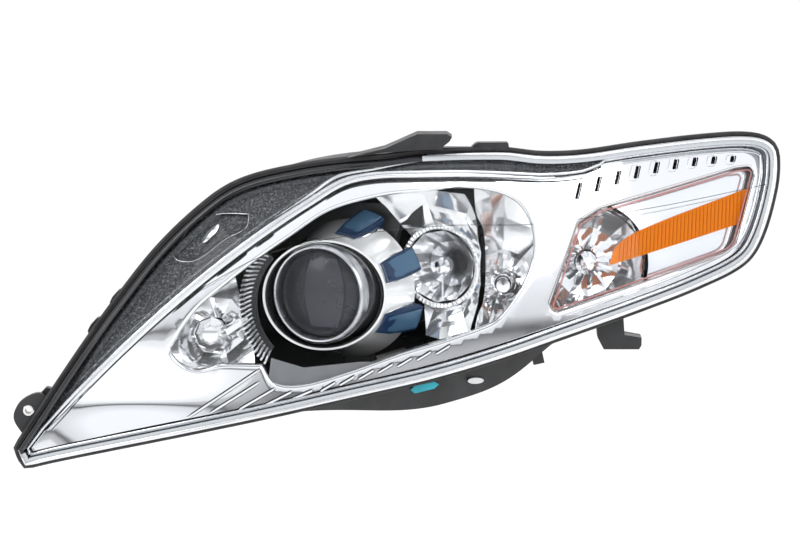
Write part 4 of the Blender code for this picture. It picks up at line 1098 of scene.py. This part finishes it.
def facets(name, centre, radii, sectors, surface, place, bulge, turn, wall=1.6, **options):
    """A bowl of slightly bulged facets in rings round a centre. surface(u, v, ring, sector) gives each
    corner's depth, and place(u, v, depth) turns that into 3-D rows."""
    numbers = np.arange(sectors)
    corner = []
    for i, radius in enumerate(radii):
        u, v = (centre + radius * spoke(turn + 2 * math.pi * numbers / sectors)).T
        corner.append(np.stack([u, v, surface(u, v, i, numbers)], axis=1))
    steps = np.linspace(0, 1, FACET_CELLS + 1)
    rows = []
    for i in range(len(radii) - 1):
        for fr in steps[:-1] if i < len(radii) - 2 else steps:
            row = []
            for j in range(sectors):
                k = (j + 1) % sectors
                for fa in steps[:-1]:
                    low = corner[i][j] * (1 - fa) + corner[i][k] * fa
                    high = corner[i + 1][j] * (1 - fa) + corner[i + 1][k] * fa
                    p = low * (1 - fr) + high * fr
                    row.append(p + np.array([0, 0, bulge * 16 * fr * (1 - fr) * fa * (1 - fa)]))
            rows.append(np.array(row))
    rows += [row - np.array([0, 0, wall]) for row in rows[::-1]]
    points = np.concatenate([place(row[:, 0], row[:, 1], row[:, 2]) for row in rows])
    return add_piece(name, points, ring_faces(len(rows), len(rows[0])), "bright_chrome", sharp=7.0, **options)


def hollow(back, deep, centre, reach, uneven, turns):
    """A facet depth rule: a bowl behind the lens, with corners that lie a little off it."""
    def depth(u, v, ring, sector):
        wave = uneven * np.sin(turns[0] * sector + turns[1] * ring)
        return lens_depth(u, v) - back - deep * bowl(u, v, centre, reach) + wave
    return depth


def across(u, v, depth):
    """Rows of x, y, z for a bowl whose axis runs forward: u is x, v is z and depth counts towards the front."""
    return np.stack([u, -depth, v], axis=1)


def keep_inside(target, outline, place):
    """Keeps the part of target that lies inside a prism."""
    cut(target, prism("keep", outline, place, "chrome"), "INTERSECT", 7.0)


def main_beam():
    """The main-beam bowl, its knurled rim and the chrome walls round it, which all tilt with the carrier."""
    def bowl_depth(u, v, ring, sector):
        r = np.hypot(u - MAIN_AXIS[0], v - MAIN_AXIS[1])
        return -(53 - 37.4 * (r / 30) ** 2) + 0.8 * np.sin(2.3 * sector + ring)

    def wall_depth(u, v, ring, sector):
        r = np.hypot(u - MAIN_AXIS[0], v - MAIN_AXIS[1])
        return -17 + 0.45 * (r - 34) + 2.2 * np.sin(1.7 * sector + 2.1 * ring)

    facets("main_bowl", MAIN_AXIS, [9.5, 19, 30], 10, bowl_depth, across, 1.0, 0.2, 1.4, body="carrier",
           stands_for=["main_reflector"])
    main_rim(30.3, 34.6, 60)
    walls = facets("main_walls", MAIN_AXIS, [35, 52, 94], 9, wall_depth, across, 1.8, 0.35, 1.4, body="carrier")
    outline = [(52, 34), (55, 22), (58, 10), (60, -2), (61, -14), (63, -24), (66, -38), (80, -40), (106, -34),
               (111, -10), (111, 30), (110, 62), (102, 80), (60, 83), (22, 80), (34, 66), (46, 46)]
    keep_inside(walls, outline, plate_across(-60, 60))


def main_rim(inner, outer, teeth):
    """A ring of fine radial ridges round the main-beam bowl."""
    count = teeth * 4
    turn = 2 * math.pi * np.arange(count) / count
    wave = np.array([0, 0.7, 0.9, 0.2])[np.arange(count) % 4]
    section = [(inner, 0.2, 0), (inner + 0.6, 1.2, 0), (inner + 1.2, 1.2, 1), (outer - 1.2, 1.8, 1),
               (outer - 0.6, 2, 0), (outer, 1.2, 0), (outer, -1.2, 0), (inner, -1.2, 0)]
    rows = [across(*(MAIN_AXIS + radius * spoke(turn)).T, -16 + height + share * wave)
            for radius, height, share in section]
    add_piece("main_rim", np.concatenate(rows), ring_faces(len(rows), count), "bright_chrome", body="carrier",
              sharp=25)


def bend_light():
    """The bend light's bowl of tall facets at the eye's outboard end."""
    depth = hollow(25, 36, BEND_CENTRE, (36, 64), 1.3, (2.1, 1.3))
    piece = facets("bend_bowl", BEND_BULB, [10.2, 26, 52, 98], 9, depth, plane_points, 1.4, 0.15,
                   stands_for=["bend_reflector"])
    outline = spline([(102, -34), (124, -26), (138, -9), (148, 9), (154, 31), (153, 52), (144, 72), (128, 85),
                      (102, 91), (104, 62), (110, 48), (112, 18), (110, -8), (105, -20)], (0, 8), step=4)
    keep_inside(piece, outline, plate_on_plane(140, -80))
    tube = [(6.6, 6), (6.6, 17), (7.4, 18), (8.6, 17), (11.2, 11), (11.2, 6)]
    turned("bend_tube", tube, "bright_chrome", plane_points(*BEND_BULB, 0), OUT, ring=True)


def position_lamp():
    """The position lamp's bowl and its octagonal cap."""
    depth = hollow(28, 26, (-104, -24), (46, 48), 0.9, (1.9, 2))
    piece = facets("position_bowl", POSITION_BULB, [6.4, 24, 52], 8, depth, plane_points, 0.9, 0.3,
                   stands_for=["position_reflector"])
    outline = [(-147, -46), (-142, -32), (-125, -6), (-104, 12), (-92, 18), (-87, -6), (-78, -34), (-75, -58),
               (-102, -59), (-127, -63), (-142, -57)]
    keep_inside(piece, outline, plate_on_plane(140, -40))
    cap = [(0, 70.5), (6.5, 69.2), (13, 64), (13.8, 62), (13.8, 60), (12.4, 59), (0, 59)]
    turned("position_cap_fine", cap, "bright_chrome", plane_points(*POSITION_CAP, 0), OUT, 8, phase=0.5, sharp=10,
           stands_for=["position_cap"])
    arm = [(-103, -30), (-82, -17), (-80, -20.5), (-101, -35)]
    prism("position_arm", arm, plate_on_plane(63, 58), "bright_chrome", bevel=0.6)


def louver():
    """The wall between the position lamp and the barrel, with its row of radial ribs."""
    hub = np.array(LOUVER_HUB)
    first, last = LOUVER_REACH

    def face(s, t):
        along = np.clip((np.hypot(s - hub[0], t - hub[1]) - first) / 13, 0, 1)
        return bezel_base(s, t) - 3.5 - 15 * (1 - along)

    middle_line = hub + (first + last) / 2 * spoke(np.radians(np.linspace(138, 223, 60)))
    bead("louver_fine", middle_line, [(-7, 0), (7, 0), (7, -2.4), (-7, -2.4)], lambda s, t: face(s, t) - 1.2,
         "gloss_black", False, sharp=20, stands_for=["rib_louver"])
    ribs = []
    for turn in np.radians(np.linspace(139, 222, 25)):
        start = hub + (first + 1.5) * spoke(turn)
        end = hub + (last + 0.8) * spoke(turn + math.radians(4))
        ribs.append(bead_mesh(np.linspace(start, end, 5), half_round(2.1, 1.9, 1.2, 4), face, False))
    merged("louver_ribs", ribs, "bright_chrome")


# ---------------------------------------------------------------- turn signal

def turn_signal():
    """The clear window with its rolled rim, the amber bar, the half bowl and the bright panel behind."""
    shell("signal_lens_fine", patch(moved_out(SIGNAL_PATH, -0.9), [], 6.0), behind_lens(BEZEL_BACK + 0.6), 1.6,
          "lens_clear", stands_for=["signal_lens"])
    bead("signal_lens_rim", moved_out(SIGNAL_PATH, -1.9), half_round(1.6, 0.9, 0.4),
         behind_lens(BEZEL_BACK + 0.4), "pink_clear")
    bar = spline([(213, 18), (219, 33), (239, 45), (332, 75), (322, 46), (272, 33)], (0, 3, 4), step=3)
    shell("amber_bar_fine", patch(bar, [], 5.0), behind_lens(19), 2.5, "amber_clear", stands_for=["amber_bar"])
    ribs = [bead_mesh(np.linspace(low, high, 6), half_round(0.8, 0.35, 0.2), behind_lens(18.8), False)
            for low, high in bar_ribs(bar)]
    merged("amber_ribs", ribs, "amber_edge")
    opening = moved_out(SIGNAL_PATH, 3.0)
    depth = hollow(24, 34, SIGNAL_BULB, (52, 52), 0.8, (2.3, 1.9))
    piece = facets("signal_bowl", SIGNAL_BULB, [9.6, 28, 50], 11, depth, plane_points, 0.9, 0.2,
                   stands_for=["signal_reflector"])
    keep_inside(piece, opening, plate_on_plane(140, -140))
    arc = SIGNAL_BULB + 51 * spoke(np.radians(np.linspace(-32, 82, 24)))
    panel = opening[(np.hypot(*(opening - SIGNAL_BULB).T) > 52) & (opening[:, 0] > 200)]
    panel = panel[np.argsort(np.arctan2(panel[:, 1] - 50, panel[:, 0] - 270))]
    start = np.argmin(np.hypot(*(panel - arc[0]).T))
    outline = np.concatenate([np.roll(panel, -start, 0), arc[::-1]])
    shell("signal_panel", patch(outline, [], 6.0), behind_lens(25), 1.6, "bright_chrome")
    scallops = SIGNAL_BULB + 47 * spoke(np.radians(np.linspace(-14, 70, 40)))
    bead("signal_arc", scallops, half_round(2.6, 0.8, 0.6), behind_lens(23), "gloss_black", False,
         0.75 + 0.35 * np.cos(np.arange(40) * math.pi / 2.5))


def bar_ribs(outline):
    """The ends of the fine upright ribs across the amber bar."""
    for s in np.arange(222, 326, 3.2):
        near = outline[np.abs(outline[:, 0] - s) < 3.0]
        low, high = near[:, 1].min() + 0.8, near[:, 1].max() - 0.8
        if high - low > 4:
            yield (s - 0.6, low), (s + 0.6, high)


# ---------------------------------------------------------------- what the CAD nodes that stay are made of

CAD_LOOKS = {
    "black_plastic": ["upper_bracket", "lower_bracket", "wire_clip", "harness_connector", "shutter_solenoid",
                      "carrier_frame", "levelling_motor", "swivel_motor", "signal_socket", "position_socket",
                      "low_beam_cover", "main_beam_cover"],
    "satin_metal": ["ellipsoid_reflector", "swivel_pin_upper", "swivel_pin_lower", "shutter_flap",
                    "solenoid_plunger", "bulb_clip"],
    "chrome": ["main_bulb_shield", "bend_bulb_shield", "signal_bulb"],
    "white_plastic": ["tab_bush", "level_stud", "level_knob", "swivel_stud"],
    "glass_smoke": ["low_beam_bulb", "main_bulb", "bend_bulb"],
    "rubber": ["lens_sealant", "vent_cap", "low_beam_seal", "main_beam_seal"],
    "satin_grey": ["grained_shelf"],
    "teal_plastic": ["drain_plug"],
    "lens_clear": ["position_bulb"],
}


REAR_COVERS = {
    "low_beam": ((0.0, 0.0), 46.0, 132.0),
    "main_beam": ((78.0, 18.0), 30.0, 130.0),
}


def rear_details():
    """Grip lugs and a rolled ring on the two twist caps, and stiffening ribs on the housing's back."""
    for name, ((x, z), radius, end) in REAR_COVERS.items():
        lugs = [lug((x, z) + radius * spoke(turn), turn, end) for turn in np.radians(np.arange(0, 360, 15))]
        merged(name + "_cap_lugs", lugs, "black_plastic", body=name + "_cap")
        ring = [(radius * 0.80, end + 4.6), (radius * 0.81, end + 6.4), (radius * 0.85, end + 6.4),
                (radius * 0.86, end + 4.6)]
        turned(name + "_cap_ring", ring, "black_plastic", (x, 0, z), body=name + "_cap", ring=True)
    ribs = []
    for s in np.arange(196, 320, 20):
        path = np.array([(s, t) for t in np.arange(0.27 * s - 52, 92 - 0.02 * s, 6)])
        ribs.append(bead_mesh(path, half_round(2.2, -1.8, -1.5), housing_depth, False))
    merged("back_ribs", ribs, "black_plastic")


def lug(spot, turn, end):
    """One grip lug on a cap's edge: a small block, wider at its root."""
    flat = placed([(-2.2, -2.0), (-2.2, 2.0), (1.6, 1.3), (1.6, -1.3)], spot, turn)
    return lofted([across(flat[:, 0], flat[:, 1], np.full(4, -y)) for y in (end + 0.8, end + 4.6)])


def finish_cad_nodes():
    for look, names in CAD_LOOKS.items():
        for name in names:
            mesh = frame["nodes"][name].data
            mesh.materials.clear()
            mesh.materials.append(LOOKS[look])
            for polygon in mesh.polygons:
                polygon.material_index = 0


# ---------------------------------------------------------------- stage

def studio():
    """A white tent: what chrome reflects runs from a pale floor through a dark horizon to a white top, and
    the camera and matt surfaces see plain white."""
    world = bpy.data.worlds.new("studio")
    bpy.context.scene.world = world
    n = Nodes(world)
    upwards = n.add("ShaderNodeSeparateXYZ", Vector=n.where["Generated"]).outputs["Z"]
    height = n.add("ShaderNodeMapRange", From_Min=-1.0, Value=upwards).outputs["Result"]
    tent = n.ramp(height, [(position, (grey, grey, grey * 1.02)) for position, grey in TENT])
    ray = n.add("ShaderNodeLightPath").outputs
    choose = n.add("ShaderNodeMix")
    choose.data_type = "RGBA"
    plain = n.calculate("MAXIMUM", ray["Is Camera Ray"], ray["Is Diffuse Ray"])
    for socket, value in ((0, plain), (6, tent), (7, (1, 1, 1, 1))):
        n.feed(choose.inputs[socket], value)
    n.set(n.tree.nodes["Background"], Color=choose.outputs[2], Strength=1.1)


def lamp(name, place, size, power):
    light = bpy.data.lights.new(name, "AREA")
    light.size = size
    light.energy = power
    holder = bpy.data.objects.new(name, light)
    bpy.context.scene.collection.objects.link(holder)
    holder.location = place
    holder.rotation_mode = "QUATERNION"
    holder.rotation_quaternion = (Vector(middle) - Vector(place)).to_track_quat("-Z", "Y")


def stage():
    """A white floor below the lamp, and two area lamps."""
    mesh = bpy.data.meshes.new("floor")
    z = box[0].z - FLOOR_DROP
    corners = [(x * FLOOR_REACH, y * FLOOR_REACH, z) for x, y in ((-1, -1), (1, -1), (1, 1), (-1, 1))]
    mesh.from_pydata(corners, [], [(0, 1, 2, 3)])
    mesh.materials.append(surfaced("floor_white", [3, 2, (0.3, 0.92), (0.7, 0.94)], 0.9))
    floor = bpy.data.objects.new("floor", mesh)
    bpy.context.scene.collection.objects.link(floor)
    lamp("key", middle + Vector((-0.9, -1.4, 1.6)), 1.2, 18)
    lamp("fill", middle + Vector((1.6, -0.9, 0.9)), 1.0, 9)


def camera():
    """The photographer's view: from in front, a little outboard and a little above, far away."""
    data = bpy.data.cameras.new("camera")
    data.sensor_width = 36
    data.lens = data.sensor_width * CAMERA_DISTANCE / (VIEW_WIDTH * MM)
    data.clip_end = 50
    holder = bpy.data.objects.new("camera", data)
    bpy.context.scene.collection.objects.link(holder)
    level = math.cos(CAMERA_LIFT)
    back = Vector((math.sin(CAMERA_TURN) * level, -math.cos(CAMERA_TURN) * level, math.sin(CAMERA_LIFT)))
    right = Vector((math.cos(CAMERA_TURN), math.sin(CAMERA_TURN), 0))
    aim = SWIVEL + (right * AIM[0] + back.cross(right) * AIM[1]) * MM
    holder.location = aim + back * CAMERA_DISTANCE
    holder.rotation_mode = "QUATERNION"
    holder.rotation_quaternion = back.to_track_quat("Z", "Y")
    bpy.context.scene.camera = holder


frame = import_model()
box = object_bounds()
middle = (box[0] + box[1]) / 2
SWIVEL = Vector(next(j for j in frame["joints"] if j["name"] == "beam_swivel")["pos_m"])
# a number follows the dot in the name of a look that the frame has a material for already
LOOKS = {material.name.split(".")[0]: material for material in opaque_looks() + see_through_looks()}
LENS_PATH = spline(LENS_OUTLINE, LENS_CORNERS, step=4.0)
EYE_PATH = spline(EYE_OPENING, EYE_CORNERS, step=3.0)
SIGNAL_PATH = rounded(SIGNAL_OPENING, SIGNAL_CORNERS)
TRIM = trim_line()

outer_lens()
lens_rims()
lens_seam()
housing()
housing_details()
chrome_bezel()
dark_bezel()
eye_liner()
projector()
main_beam()
bend_light()
position_lamp()
louver()
turn_signal()
finish_cad_nodes()
rear_details()
studio()
stage()
camera()
bpy.context.scene.view_settings.view_transform = "Standard"
bpy.context.scene.cycles.transparent_max_bounces = 32
